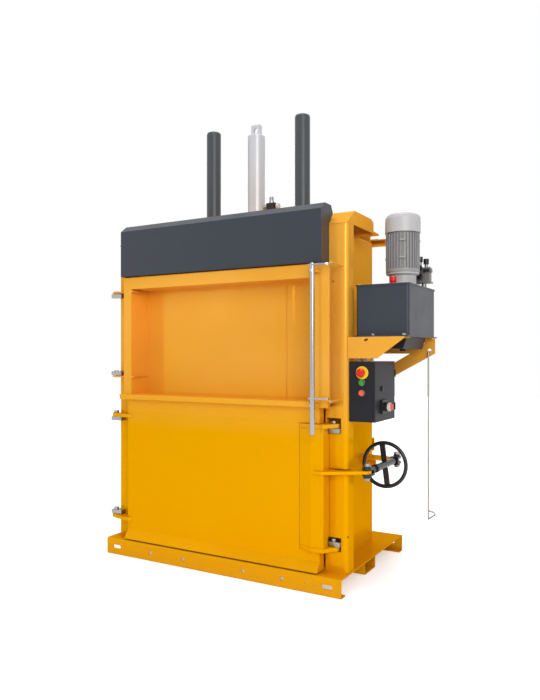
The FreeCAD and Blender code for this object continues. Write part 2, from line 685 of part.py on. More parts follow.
# ---------------------------------------------------------------- ram
def cylinder_barrel():
    """Hydraulic barrel with a closed top, an eye lug and a flange that lies on the head beam."""
    bore = s.bore_radius
    radius = s.barrel_radius
    high = barrel_high
    seat = head_high
    rim = radius + s.flange_width
    chamfer = s.barrel_chamfer
    crown = high - s.platen_sheet - chamfer
    outline = [(bore, barrel_low), (radius, barrel_low), (radius, seat), (rim, seat),
               (rim, seat + s.flange_height), (radius, seat + s.flange_height), (radius, high - chamfer),
               (radius - chamfer, high), (0, high), (0, crown), (bore, crown)]
    barrel = turned(outline, (0, s.ram_line, 0))
    half = s.lug_width / 2
    lug_high = high + s.lug_height
    foot = high - SINK
    outline = [(-half, foot), (half, foot), (half, lug_high - half / 2), (half / 2, lug_high),
               (-half / 2, lug_high), (-half, lug_high - half / 2)]
    lug = padded("XZ", [outline], s.lug_thickness, at=s.ram_line - s.lug_thickness / 2)
    hole = s.lug_hole
    eye = high + s.lug_height / 2
    near = s.ram_line - s.lug_thickness
    arch = [rod((0, near, eye), hole, 2 * s.lug_thickness, "Y"),
            box((-hole, near, eye - hole), (hole, near + 2 * s.lug_thickness, eye))]
    return node(fuse([barrel, cut(lug, arch)]), "cylinder_barrel")


def cylinder_gland():
    """Ring that closes the barrel's lower end round the rod."""
    low = barrel_low
    foot = low - s.gland_lip
    bore = s.rod_radius + s.running_gap
    rim = s.barrel_radius - s.gland_inset
    outline = [(bore, foot), (rim, foot), (rim, low), (s.bore_radius, low),
               (s.bore_radius, low + s.gland_height), (bore, low + s.gland_height)]
    return node(turned(outline, (0, s.ram_line, 0)), "cylinder_gland")


def piston_rod():
    """Rod with its piston, from the platen's top up into the barrel."""
    low = platen_top
    high = barrel_high - 2 * s.platen_sheet
    piston = s.bore_radius - s.running_gap
    neck = high - s.piston_height
    outline = [(0, low), (s.rod_radius, low), (s.rod_radius, neck), (piston, neck), (piston, high),
               (0, high)]
    return node(turned(outline, (0, s.ram_line, 0)), "piston_rod")


def guide_tubes():
    """Two tubes with closed tops that stand on the platen and slide in the head's bushes."""
    high = guide_top
    radius = s.guide_radius
    inner = radius - s.guide_tube_wall
    outline = [(inner, platen_top), (radius, platen_top), (radius, high - s.guide_crown),
               (radius - s.guide_shoulder / 2, high - s.guide_shoulder), (radius - s.guide_crown_edge, high),
               (0, high), (0, high - s.guide_tube_wall), (inner, high - 3 * s.guide_tube_wall)]
    tubes = [turned(outline, (side * s.guide_spacing / 2, s.ram_line, 0)) for side in (-1, 1)]
    return node(together(tubes), "guide_tubes")


def guide_bushes():
    """Two flanged bushes in the head beam that the guide tubes slide in."""
    bore = s.guide_radius + s.running_gap
    foot = head_low - s.bush_drop
    seat = head_high
    rim = bush_radius + s.flange_width / 2
    outline = [(bore, foot), (bush_radius, foot), (bush_radius, seat), (rim, seat),
               (rim, seat + s.flange_height), (bore, seat + s.flange_height)]
    bushes = [turned(outline, (side * s.guide_spacing / 2, s.ram_line, 0)) for side in (-1, 1)]
    return node(together(bushes), "guide_bushes")


def platen():
    """Press plate: grooved underside, raised rim and ribs that carry the rod and the guides."""
    half = wall_inner - s.platen_margin
    low = platen_low
    skin = s.platen_sheet
    deck = low + 2 * skin
    outline = [(-half, low)]
    for step in GROOVE_STEPS:
        outline += groove(s.groove_pitch * step, low, 1)
    outline += [(half, low), (half, platen_top), (half - skin, platen_top), (half - skin, deck),
                (skin - half, deck), (skin - half, platen_top), (-half, platen_top)]
    pieces = [padded("XZ", [outline], s.platen_back - platen_front, at=platen_front)]
    ribs = (s.ram_line - s.platen_rib, s.ram_line + s.platen_rib)
    for near in (platen_front, *ribs, s.platen_back - skin):
        pieces.append(box((skin / 2 - half, near, deck - SINK), (half - skin / 2, near + skin, platen_top)))
    for middle in (-s.guide_spacing / 2, as_size(0), s.guide_spacing / 2):
        pieces.append(box((middle - s.platen_pad, ribs[0], platen_top - skin),
                          (middle + s.platen_pad, ribs[1] + skin, platen_top)))
    return node(fuse(pieces), "platen")


def cylinder_port():
    """Elbow, nut and check valve on the barrel's side, where the hose comes in."""
    height = head_high + s.port_rise
    start = s.barrel_radius
    line = s.ram_line
    half = s.port_block_half
    nut_start = start + s.port_nut_length
    block_start = nut_start + s.port_nut_length - SINK
    middle = block_start + s.port_block / 2
    end = block_start + s.port_block
    round_barrel = rod((0, line, height - 2 * half), start + s.thread_gap, 4 * half)
    root = start - s.port_stub
    boss = cut(rod((root, line, height), s.port_boss, nut_start + SINK - root, "X"), [round_barrel])
    pieces = [boss, rod((nut_start, line, height), s.port_nut, s.port_nut_length, "X"),
              box((block_start, line - half, height - half), (end, line + half, height + half)),
              rod((middle, line, height - half - s.port_stub_length), s.port_stub,
                  s.port_stub_length + SINK),
              rod((middle, line, height + half - SINK), s.port_cap, s.port_cap_length),
              rod((end - SINK, line, height), s.port_side, s.port_side_length, "X")]
    return node(fuse(pieces), "cylinder_port")


# ---------------------------------------------------------------- filling door
def filling_door():
    """Deep pan with a flute, stiles, a top rail, a wide ledge along its foot and a flange on its right."""
    skin = s.door_sheet
    face = filling_front
    left = filling_left
    flange_bend = post_inner + SINK
    flute_left = pan_right - s.flute_place
    flute_right = flute_left + s.flute_width
    flute = [(flute_left, 0), (flute_left + s.flute_slope, -s.flute_depth),
             (flute_right - s.flute_slope, -s.flute_depth), (flute_right, 0)]
    fluted_front = [(x, pan_back + depth) for x, depth in flute]
    fluted_back = [(x, pan_inside + depth) for x, depth in reversed(flute)]
    plan = [(left, door_back), (left, face), (pan_left, face), (pan_left, pan_back), *fluted_front,
            (pan_right, pan_back), (pan_right, face), (flange_bend, face),
            (filling_right, face + skin), (filling_right, face + 3 * skin),
            (filling_right - skin, face + 3 * skin), (filling_right - skin, face + 2 * skin),
            (flange_bend, face + skin), (pan_right + skin, face + skin), (pan_right + skin, pan_inside),
            *fluted_back, (pan_left - skin, pan_inside), (pan_left - skin, face + skin),
            (left + skin, face + skin), (left + skin, door_back)]
    sheet_body = padded("XY", [plan], filling_top - ledge_low, at=ledge_low)
    rail = [(face, rail_low), (pan_back, rail_low), (pan_back, rail_low + skin),
            (face + skin, rail_low + skin), (face + skin, filling_top - skin),
            (pan_inside, filling_top - skin), (pan_inside, filling_top), (face, filling_top)]
    rail_body = padded("YZ", [rail], pan_right - pan_left, at=pan_left)
    top = s.ledge_top
    ledge = [(front, ledge_low), (door_back, ledge_low), (door_back, ledge_low + skin),
             (front + skin, ledge_low + skin), (front + skin, top - skin), (door_back, top - skin),
             (door_back, top), (front, top)]
    ledge_left = -post_inner - s.ledge_overlap
    ledge_body = padded("YZ", [ledge], post_inner + s.ledge_end - ledge_left, at=ledge_left,
                        rounds=[(skin, [(front, ledge_low), (front, top)])])
    pieces = [sheet_body, rail_body, ledge_body,
              box((pan_left, door_back - SINK, top - skin), (pan_right, pan_back + SINK, top))]
    for _, low in FILLING_HINGES:
        pieces.append(box((pan_left - SINK, face + SINK, low),
                          (pan_left + s.gusset_width, face + s.gusset_reach, low + s.thin_plate)))
    return node(fuse(pieces), "filling_door")


def hinge_plate(outline, low, thickness):
    """A plate that ends in a knuckle round the doors' hinge line."""
    plate = padded("XY", [outline], thickness, at=low)
    knuckle = rod((hinge_left, hinge_line, low), s.hinge_knuckle, thickness)
    hole = rod((hinge_left, hinge_line, low - OVERRUN), s.pin_radius + s.running_gap,
               thickness + 2 * OVERRUN)
    return cut(fuse([plate, knuckle]), [hole])


def filling_hinge_plates():
    """Two thin plates on the filling door's left edge."""
    near = hinge_line - s.hinge_knuckle
    outline = [(hinge_left, near), (filling_left, filling_front + 2 * s.door_sheet),
               (filling_left, door_back), (hinge_left, door_back)]
    plates = [hinge_plate(outline, low, s.thin_plate) for _, low in FILLING_HINGES]
    return node(together(plates), "filling_hinge_plates")


def bale_hinge_plates():
    """Two plates on the bale door's left edge, with bevelled ends on its face."""
    near = hinge_line - s.hinge_knuckle
    reach = s.hinge_nose
    nose = bale_front - reach
    outline = [(hinge_left, near), (bale_left - reach, nose), (bale_left + reach, nose),
               (bale_left + 2 * reach, bale_front), (bale_left, bale_front), (bale_left, door_back),
               (hinge_left, door_back)]
    plates = [hinge_plate(outline, low, s.hinge_plate) for _, low in BALE_HINGES]
    return node(together(plates), "bale_hinge_plates")


def pinned_block(left, right, near, low, pivot):
    """A block with an upright hole for a pin."""
    block = box((left, near, low), (right, near + s.block_depth, low + s.block_height))
    hole = rod((*pivot, low - OVERRUN), s.pin_radius, s.block_height + 2 * OVERRUN)
    return cut(block, [hole])


def hinge_blocks():
    """Blocks on the left post that hold the doors' pins."""
    left = hinge_left - s.hinge_knuckle
    near = post_front - s.block_depth
    right = left + s.block_width
    pivot = (hinge_left, hinge_line)
    blocks = [pinned_block(left, right, near, low, pivot) for low, _ in BALE_HINGES + FILLING_HINGES]
    return node(together(blocks), "hinge_blocks")


def headed_pin(x, y, seat, length, top):
    """A pin with a round head that rests on a seat and a shank that goes down from it."""
    shank = s.pin_radius
    head = s.pin_head
    chamfer = s.pin_chamfer
    outline = [(0, -length), (shank - chamfer, -length), (shank, chamfer - length), (shank, 0), (head, 0),
               (head, top - chamfer), (head - chamfer, top), (0, top)]
    return turned(outline, (x, y, seat))


def hinge_pins():
    """Headed pins of the doors' hinges, each standing on the upper of its block and its plate."""
    pins = []
    rows = [(pair, s.hinge_plate, s.pin_head_height) for pair in BALE_HINGES]
    rows += [(pair, s.thin_plate, s.low_head_height) for pair in FILLING_HINGES]
    for (block, plate), thickness, top in rows:
        length = s.block_height + thickness + 2 * s.washer_gap
        over = block.number < plate.number
        seat = plate + thickness + s.washer_gap if over else block + s.block_height
        pins.append(headed_pin(hinge_left, hinge_line, seat, length, top))
    return node(together(pins), "hinge_pins")


def bale_door():
    """Folded door in three welded parts: a sloped foot, a panel beside the lock and a channel along its top."""
    skin = s.door_sheet
    face = bale_front
    left = bale_left
    right = bale_right
    top = ledge_low - s.washer_gap
    fold = bale_knee
    low = lock_low - s.lock_plate - s.seam_gap
    high = lock_high + s.lock_plate + s.seam_gap
    inside = face + SINK

    section = [(face, low), (face, fold), (front + skin, bale_low), (front + 2 * skin, bale_low),
               (face + skin, fold), (door_back, fold), (door_back, fold + 2 * skin),
               (door_back - skin, fold + 2 * skin), (door_back - skin, fold + skin),
               (face + skin, fold + skin), (face + skin, low - skin), (door_back, low - skin), (door_back, low)]
    cap = [(inside, low), (inside, fold + SINK), (front + skin, bale_low), (door_back, bale_low),
           (door_back, low)]
    foot = [padded("YZ", [section], right - left, at=left)]
    for start in (left, right - skin):
        foot.append(padded("YZ", [cap], skin, at=start))

    panel = [box((left, face, low), (lock_notch, face + skin, high))]
    for start in (left, lock_notch - skin):
        panel.append(box((start, inside, low), (start + skin, door_back, high)))
    half = s.bale_stiffener
    for middle in (-s.bale_stiffener_place, s.bale_stiffener_place):
        panel.append(box((middle - half, inside, low), (middle + half, door_back, high)))

    section = [(face, high), (face, top), (door_back, top), (door_back, top - skin), (face + skin, top - skin),
               (face + skin, high + skin), (door_back, high + skin), (door_back, high)]
    rail = [padded("YZ", [section], right - left, at=left)]
    for start in (left, right - skin):
        rail.append(box((start, inside, high), (start + skin, door_back, top)))
    return node(together([fuse(foot), fuse(panel), fuse(rail)]), "bale_door")


# ---------------------------------------------------------------- lock
def lock_beam():
    """Folded beam that closes over the bale door's edge, between two pivot plates."""
    skin = s.lock_sheet
    nose = bale_front
    face = lock_front
    right = lock_right
    back = door_back - s.washer_gap
    outline = [(lock_tip, nose), (lock_corner, face), (right, face), (right, back), (right - skin, back),
               (right - skin, face + skin), (lock_corner + SINK, face + skin),
               (lock_tip + s.seam_gap, nose + skin)]
    beam = padded("XY", [outline], lock_high - lock_low, at=lock_low, rounds=[(skin / 2, [(right, face)])])
    lip = face - s.lock_plate_lip
    plan = [(lock_tip, nose), (lock_corner, lip), (right, lip), (lock_pivot + s.lock_knuckle, lock_line),
            (lock_pivot - s.lock_knuckle, lock_line), (lock_pivot - s.lock_knuckle, back),
            (lock_tip + 2 * skin, back), (lock_tip, nose + 2 * skin)]
    clear = lock_line - s.block_depth / 2 - s.door_gap
    inside = right - skin - OVERRUN
    outside = right + OVERRUN
    low_head = lock_low + s.block_height + s.pin_head_height + 3 * s.washer_gap
    high_block = lock_high - s.block_height - 3 * s.washer_gap
    notches = [box((inside, clear, lock_low), (outside, lock_line, low_head)),
               box((inside, clear, high_block), (outside, lock_line, lock_high)),
               box((lever_left, face - OVERRUN, lever_low), (outside, lock_line, lever_high))]
    pieces = [cut(beam, notches)]
    holes = []
    for low in (lock_low - s.lock_plate, lock_high):
        pieces.append(padded("XY", [plan], s.lock_plate, at=low))
        pieces.append(rod((lock_pivot, lock_line, low), s.lock_knuckle, s.lock_plate))
        holes.append(rod((lock_pivot, lock_line, low - OVERRUN), s.pin_radius + s.running_gap,
                         s.lock_plate + 2 * OVERRUN))
    return node(cut(fuse(pieces), holes), "lock_beam")


def lock_lever():
    """Lever plate through the post, from the lock beam to the turnbuckle's bolt."""
    end = s.fork_width / 2
    back = door_back - s.washer_gap
    inner_face = lock_front + s.lock_sheet
    shoulder = s.lever_shoulder
    plan = [(lock_right - s.lock_sheet, inner_face), (lock_right - s.lock_sheet, back),
            (lock_pivot - shoulder, lock_line), (lock_pivot - shoulder / 3, lock_line + shoulder),
            (link_line - end / 2, link_front + end), (link_line + end, link_front),
            (link_line + end / 2, link_front - end), (lever_left + s.lever_nose, lever_front),
            (lever_left, lever_front), (lever_left, inner_face)]
    plate = padded("XY", [plan], s.lever_thickness, at=lever_low)
    hole = rod((link_line, link_front, lever_low - OVERRUN), s.bolt_radius + s.lever_play,
               s.lever_thickness + 2 * OVERRUN)
    return node(cut(plate, [hole]), "lock_lever")


def lock_blocks():
    """Blocks in the right post's windows that hold the lock's pins."""
    near = lock_line - s.block_depth / 2
    left = post_inner + s.post_sheet
    right = lock_pivot + s.window_width / 2
    lows = (lock_low + s.washer_gap, lock_high - s.block_height - s.washer_gap)
    blocks = [pinned_block(left, right, near, low, (lock_pivot, lock_line)) for low in lows]
    return node(together(blocks), "lock_blocks")


def lock_pins():
    """Headed pins of the lock's pivots."""
    length = s.block_height + s.lock_plate + 2 * s.washer_gap
    seats = [lock_low + s.block_height + s.washer_gap, lock_high + s.lock_plate + s.washer_gap]
    pins = [headed_pin(lock_pivot, lock_line, seat, length, s.pin_head_height) for seat in seats]
    return node(together(pins), "lock_pins")


# ---------------------------------------------------------------- turnbuckle
def fork(centre, toward, length):
    """A forged fork: two cheeks round a pivot, joined by a solid foot; toward is the side of its shank."""
    half = s.fork_width / 2
    gap = s.fork_gap / 2
    thick = gap + s.fork_cheek
    low = link_height - thick
    high = link_height + thick
    near = centre if toward > 0 else centre - length
    body = box((link_line - half, near, low), (link_line + half, near + length, high))
    eye = rod((link_line, centre, low), half, 2 * thick)
    throat = box((link_line - half - OVERRUN, centre - s.fork_throat, link_height - gap),
                 (link_line + half + OVERRUN, centre + s.fork_throat, link_height + gap))
    bolt = rod((link_line, centre, low - s.bolt_end), s.bolt_radius, 2 * (thick + s.bolt_end))
    head = rod((link_line, centre, high), s.bolt_head_radius, s.bolt_head_height)
    nut = rod((link_line, centre, low - s.bolt_head_height), s.bolt_head_radius, s.bolt_head_height)
    return [cut(fuse([body, eye]), [throat]), bolt, head, nut]


def front_fork():
    """Fork on the lever with its bolt and the screw that runs into the handwheel's tube."""
    reach = s.fork_throat + s.fork_foot
    start = link_front + reach - SINK
    screw = rod((link_line, start, link_height), s.thread_radius, tube_front + s.thread_reach - start, "Y")
    return node(fuse(fork(link_front, 1, reach) + [screw]), "front_fork")


def back_fork():
    """Fork on the arm with its bolt and the spigot that the handwheel's tube turns on."""
    reach = s.fork_throat + s.fork_foot
    start = tube_back - s.spigot_length
    spigot = rod((link_line, start, link_height), s.thread_radius, link_back - reach + SINK - start, "Y")
    return node(fuse(fork(link_back, -1, reach) + [spigot]), "back_fork")


def handwheel():
    """Tube with a collar, one flat spoke and a round rim."""
    bore = s.thread_radius + s.thread_gap
    length = tube_back - tube_front
    collar = s.collar_length
    chamfer = s.collar_chamfer
    outline = [(bore, 0), (s.collar_radius - chamfer, 0), (s.collar_radius, chamfer),
               (s.collar_radius, collar), (s.tube_radius, collar + chamfer), (s.tube_radius, length),
               (bore, length)]
    tube = turned(outline, (link_line, tube_front, link_height), TURN_TO["Y"])
    middle = (link_line, wheel_place, link_height)
    rim = doc.addObject("Part::Torus", "rim")
    bind(rim, Radius1=s.wheel_radius, Radius2=s.rim_radius)
    place(rim, middle, TURN_TO["Y"])
    half = s.spoke_width / 2
    thick = s.spoke_thickness
    slab = box((-half, -thick / 2, -s.wheel_radius), (half, thick / 2, s.wheel_radius))
    eye = rod((0, -thick, 0), s.tube_radius - SINK, 2 * thick, "Y")
    spoke = place(cut(slab, [eye]), middle, Rotation(Vector(0, 1, 0), SIZES["spoke_tilt"]))
    bind(spoke, Placement__Rotation__Angle=s.spoke_tilt)
    return node(fuse([tube, rim, spoke]), "handwheel")


def link_arm():
    """Tapered arm on the right wall that carries the turnbuckle's back fork."""
    end = s.fork_width / 2
    root = s.arm_depth
    plan = [(wall_outer, link_back - root), (link_line, link_back - end),
            (link_line + end / 2, link_back - end / 2), (link_line + end / 2, link_back + end / 2),
            (link_line, link_back + end), (wall_outer, link_back + root)]
    plate = padded("XY", [plan], s.lever_thickness, at=lever_low)
    hole = rod((link_line, link_back, lever_low - OVERRUN), s.bolt_radius + s.running_gap,
               s.lever_thickness + 2 * OVERRUN)
    half = s.arm_web / 2
    web = box((wall_outer, link_back - half, lever_low - s.arm_web_height),
              (wall_outer + s.arm_web_reach, link_back + half, lever_low + SINK))
    return node(cut(fuse([plate, web]), [hole]), "link_arm")


# ---------------------------------------------------------------- latch
def latch_rod():
    """Upright rod on the filling door with two flat arms that close beside the post's keepers."""
    radius = s.latch_radius
    length = latch_high - latch_low
    chamfer = s.latch_chamfer
    outline = [(0, 0), (radius - chamfer, 0), (radius, chamfer), (radius, length - chamfer),
               (radius - chamfer, length), (0, length)]
    pieces = [turned(outline, (latch_line, latch_front, latch_low))]
    half = s.arm_width / 2
    for low in (arm_low, arm_high):
        plan = [(arm_left, latch_front - half), (arm_right - half, latch_front - half),
                (arm_right, latch_front - half / 2), (arm_right, latch_front + half / 2),
                (arm_right - half, latch_front + half), (arm_left, latch_front + half)]
        pieces.append(padded("XY", [plan], s.arm_thickness, at=low))
    return node(fuse(pieces), "latch_rod")


def latch_guides():
    """Plates on the filling door, rounded at the front, that the latch rod turns in."""
    half = s.guide_width / 2
    thick = s.guide_plate
    plates = []
    for low, back in ((ledge_low + s.guide_lift, front), (arm_high - s.guide_drop, filling_front)):
        plate = box((latch_line - half, latch_front, low), (latch_line + half, back, low + thick))
        nose = rod((latch_line, latch_front, low), half, thick)
        hole = rod((latch_line, latch_front, low - OVERRUN), s.latch_radius + s.running_gap,
                   thick + 2 * OVERRUN)
        plates.append(cut(fuse([plate, nose]), [hole]))
    return node(together(plates), "latch_guides")


def latch_keepers():
    """Studs on the right post beside the ends of the latch rod's arms."""
    radius = s.keeper_radius
    x = arm_right + s.keeper_gap + radius
    near = latch_front - s.keeper_end
    heights = (arm_low - s.keeper_drop, arm_high + s.keeper_lift)
    studs = [rod((x, near, z), radius, post_front - near, "Y") for z in heights]
    return node(together(studs), "latch_keepers")


# ---------------------------------------------------------------- power pack
def front_bracket():
    """Bracket plate on the right post, with a flange along its top that the tank stands on."""
    low = bracket_low
    face = bracket_front
    left = post_reach
    top = s.bracket_top
    skin = s.bracket_sheet
    outline = [(left, low), (left + s.bracket_knee_end, low), (bracket_right, top - s.bracket_nose),
               (bracket_right, top), (left, top)]
    plate = padded("XZ", [outline], skin, at=face)
    hole = rod((left + s.bracket_hole_end, face - OVERRUN, low + s.bracket_hole_rise),
               s.bracket_hole / 2, skin + 2 * OVERRUN, "Y")
    flange = box((left, face, top - skin), (bracket_right, face + s.bracket_flange, top))
    return node(fuse([cut(plate, [hole]), flange]), "front_bracket")


def back_bracket():
    """Cantilever bracket on the right wall: a band along the tank's foot and a brace below it."""
    left = wall_outer
    right = brace_right
    top = s.bracket_top
    brace_low = top - s.brace_depth
    band_low = top - s.brace_drop
    knee = tank_left + s.brace_knee
    knee_low = (band_low + brace_low) / 2
    outer = [(left, brace_low), (knee, knee_low), (right, band_low), (right, top), (left, top)]
    root = left + s.brace_width / 2
    inner = [(root, brace_low + s.brace_width + s.brace_width / 3), (knee, knee_low + s.brace_width),
             (knee + s.brace_knee_run, band_low), (root, band_low)]
    skin = s.bracket_sheet
    plate = padded("XZ", [outer, inner], skin, at=brace_line)
    near = brace_line - OVERRUN
    through = skin + 2 * OVERRUN
    holes = [rod((tool_right, near, tool_hang), s.tool_hole, through, "Y"),
             rod((tool_right - s.spare_hole_run, near, tool_hang + s.spare_hole_rise),
                 s.spare_hole / 2, through, "Y")]
    flange = box((left, brace_line + skin - s.brace_flange, top - skin), (right, brace_line + skin, top))
    return node(fuse([cut(plate, holes), flange]), "back_bracket")


def oil_tank():
    """Welded tank with rounded upright corners on a base plate that its foot bolts go through."""
    skin = s.tank_sheet
    rim = s.tank_rim
    left, right, near, far = tank_left, tank_right, tank_front, tank_back
    corners = rectangle(left, near, right, far)
    shell = padded("XY", [corners], s.tank_height, at=tank_low, rounds=[(s.tank_corner, corners)])
    hollow = box((left + skin, near + skin, tank_low + skin), (right - skin, far - skin, tank_high - skin))
    foot = box((left - skin, bracket_front, s.bracket_top), (right + skin, far + s.tank_foot_back, tank_low))
    rim_corners = rectangle(left - rim, near - rim, right + rim, far + rim)
    lid_rim = padded("XY", [rim_corners], s.tank_rim_height, at=tank_high - s.tank_rim_height,
                     rounds=[(s.tank_corner, rim_corners)])
    return node(cut(fuse([shell, foot, lid_rim]), [hollow]), "oil_tank")


def hexagon(x, y, radius, height, low):
    """An upright hexagonal bar."""
    prism = doc.addObject("Part::Prism", "hexagon")
    bind(prism, Circumradius=radius, Height=height)
    return place(prism, (x, y, low))


def tank_bolts():
    """Hexagon bolts with washers along the tank's foot."""
    right = tank_right - s.tank_bolt_end
    left = tank_left + s.tank_bolt_left
    near = tank_front - s.tank_bolt_gap
    far = tank_back + s.tank_foot_back / 2
    bolts = []
    for x, y in ((left, near), (right, near), (right, far), (left, far)):
        head = hexagon(x, y, s.tank_bolt, s.tank_bolt_height, tank_low)
        washer = rod((x, y, tank_low), s.tank_washer, s.tank_washer_height)
        bolts.append(fuse([head, washer]))
    return node(together(bolts), "tank_bolts")


def oil_sump():
    """Shallow sump under the tank with a drain plug."""
    left = tank_left + s.sump_inset
    right = tank_right - s.sump_inset
    near = tank_front + s.sump_front
    far = brace_line - s.sump_back
    high = s.bracket_top
    low = high - s.sump_drop
    slope = s.sump_slope
    outline = [(left, high), (left + slope, low), (right - slope, low), (right, high)]
    pan = padded("XZ", [outline], far - near, at=near)
    plug = rod((motor_line, motor_middle, low - s.plug_height), s.plug_radius, s.plug_height + SINK)
    return node(fuse([pan, plug]), "oil_sump")


def filler_cap():
    """Filler neck and its screw cap on the tank."""
    flange = s.cap_flange
    neck = s.cap_neck
    cap = s.cap_radius
    step = s.cap_step
    high = s.cap_height
    outline = [(0, 0), (flange, 0), (flange, step), (neck, step), (neck, 2 * step), (cap, 3 * step),
               (cap, high - step / 2), (cap - step / 2, high), (0, high)]
    return node(turned(outline, (motor_line, tank_front + s.cap_place, tank_high)), "filler_cap")


def bell_housing():
    """Flanged housing between the tank and the motor."""
    radius = s.bell_radius
    height = s.bell_height
    waist = radius - s.bell_waist
    flange = s.bell_flange
    outline = [(0, 0), (radius, 0), (radius, flange), (waist, 1.5 * flange), (waist, height - 1.5 * flange),
               (radius, height - flange), (radius, height), (0, height)]
    return node(turned(outline, (motor_line, motor_middle, tank_high)), "bell_housing")


def motor_housing():
    """Motor body: upright cooling fins set round it, an end shield, a closed top and pairs of bosses."""
    core = s.motor_radius - s.fin_depth
    height = cowl_low - shield_low
    shield = s.shield_height
    bore = s.shaft_radius + s.thread_gap
    body = doc.addObject("PartDesign::Body", "motor")
    outline = [(0, 0), (s.motor_radius, 0), (s.motor_radius, shield), (core, shield), (core, height),
               (bore, height), (bore, height - shield), (0, height - shield)]
    sketch = new_sketch(body, "XZ", [outline])
    spun = body.newObject("PartDesign::Revolution", "core")
    spun.Profile = sketch
    spun.ReferenceAxis = (sketch, ["V_Axis"])
    spun.Angle = FULL_TURN
    half = s.fin_width / 2
    fin_sketch = new_sketch(body, "XY", [rectangle(core - s.fin_width, -half, s.motor_radius, half)])
    fin = body.newObject("PartDesign::Pad", "fin")
    fin.Profile = fin_sketch
    bind(fin, Length=height - s.fin_width)
    ring = body.newObject("PartDesign::PolarPattern", "fins")
    ring.Originals = [fin]
    ring.Axis = (sketch, ["V_Axis"])
    ring.Angle = FULL_TURN
    ring.Occurrences = int(SIZES["fin_count"])
    ring.setExpression("Occurrences", "Sizes.fin_count")
    body.Tip = ring
    place(body, (motor_line, motor_middle, shield_low))
    bosses = []
    for level in (0, 1):
        low = s.boss_low + level * s.boss_pitch
        arms = cross(s.motor_radius + s.boss_rise, s.boss_width / 2, low, low + s.boss_height)
        middle = rod((0, 0, low - OVERRUN), core - s.fin_width, s.boss_height + 2 * OVERRUN)
        turn = Rotation(UP, SIZES["boss_turn"])
        ring_of_bosses = place(cut(arms, [middle]), (motor_line, motor_middle, shield_low), turn)
        bind(ring_of_bosses, Placement__Rotation__Angle=s.boss_turn)
        bosses.append(ring_of_bosses)
    return node(fuse([body] + bosses), "motor_housing")


def cross(reach, half, low, high):
    """Four arms round the origin."""
    across = box((-reach, -half, low), (reach, half, high))
    along = box((-half, -reach, low), (half, reach, high))
    return fuse([across, along])


def star(reach, half, low, high, point):
    """Eight arms round a point: two crosses, the second turned by half of a quarter turn."""
    turns = (0, QUARTER_TURN / 2)
    return [place(cross(reach, half, low, high), point, Rotation(UP, angle)) for angle in turns]


def motor_cowl():
    """Fan cowl with a rounded crown and a round grille opening."""
    radius = s.cowl_radius
    height = s.cowl_height
    skin = s.cowl_sheet
    crown = s.cowl_crown
    eye = s.cowl_eye
    core = s.motor_radius - s.fin_depth + s.thread_gap
    outside = [(radius, 0), (radius, height - crown), (radius - crown / 6, height - crown / 2),
               (radius - crown / 2, height - crown / 6), (radius - crown, height)]
    inside = [(x - skin, z - skin) for x, z in reversed(outside[1:])]
    outline = [(core, 0), *outside, (eye, height), (eye, height - skin), *inside, (radius - skin, skin),
               (core, skin)]
    pieces = [turned(outline, (motor_line, motor_middle, cowl_low))]
    bar = s.grille_bar
    pieces += star(eye + SINK, bar / 2, height - skin, height - SINK, (motor_line, motor_middle, cowl_low))
    for inner in (s.grille_pitch, 2 * s.grille_pitch):
        outline = [(inner, 0), (inner + bar, 0), (inner + bar, skin), (inner, skin)]
        pieces.append(turned(outline, (motor_line, motor_middle, cowl_high - skin)))
    return node(fuse(pieces), "motor_cowl")


def motor_fan():
    """Shaft end and fan inside the cowl."""
    middle = (motor_line, motor_middle, cowl_low + s.fan_rise)
    disc = s.fan_disc
    pieces = [rod((motor_line, motor_middle, cowl_low - s.shaft_drop), s.shaft_radius, s.shaft_length),
              rod(middle, s.fan_hub, s.fan_hub_height), rod(middle, s.fan_radius, disc)]
    pieces += star(s.fan_radius, disc / 2, as_size(0), s.fan_blade, middle)
    return node(fuse(pieces), "motor_fan")


def terminal_box():
    """Motor's terminal box with its lid, on the side toward the valves."""
    near = motor_middle + s.motor_radius + s.boss_rise + s.thread_gap
    far = near + s.terminal_depth
    low = fins_low + s.terminal_rise
    high = low + s.terminal_height
    middle = motor_line - s.terminal_shift
    half = s.terminal_width / 2
    rim = s.terminal_rim
    body = box((middle - half, near, low), (middle + half, far, high))
    lid = box((middle - half - rim, far, low - rim), (middle + half + rim, far + s.terminal_lid, high + rim))
    return node(fuse([body, lid]), "terminal_box")


def valve_places():
    """Left, front, underside and top of the valve block beside the motor."""
    return (motor_line + s.valve_left, motor_middle + s.valve_setback, tank_high + s.valve_lift,
            tank_high + s.valve_lift + s.valve_height)


def valve_knobs():
    """Places of the valve block's two knobs, with the height of each one's foot."""
    left, near, _, high = valve_places()
    line = near + s.valve_depth / 2
    first = left + s.valve_knob_inset
    foot = high + s.valve_stem_height
    return [(first, line, foot), (first + s.valve_knob_pitch, line, foot - s.valve_knob_step)]


def valve_block():
    """Valve block on a flanged foot on the tank, with stems for its knobs and a port on its side."""
    left, near, low, high = valve_places()
    right = left + s.valve_width
    far = near + s.valve_depth
    rim = s.valve_flange_rim
    plate = low - s.valve_flange
    line = near + s.valve_depth / 2
    port_height = high - s.valve_port_drop
    pieces = [box((left, near, low - SINK), (right, far, high)),
              box((left - 3 * rim, near - rim, plate), (right + rim, far + rim, low)),
              rod((left + s.valve_width / 2, line, tank_high), s.valve_foot, plate - tank_high + SINK),
              rod((right - SINK, line, port_height), s.valve_port, s.valve_port_length + SINK, "X")]
    for x, y, foot in valve_knobs():
        pieces.append(rod((x, y, high - SINK), s.valve_stem, foot - high + SINK))
    return node(fuse(pieces), "valve_block")


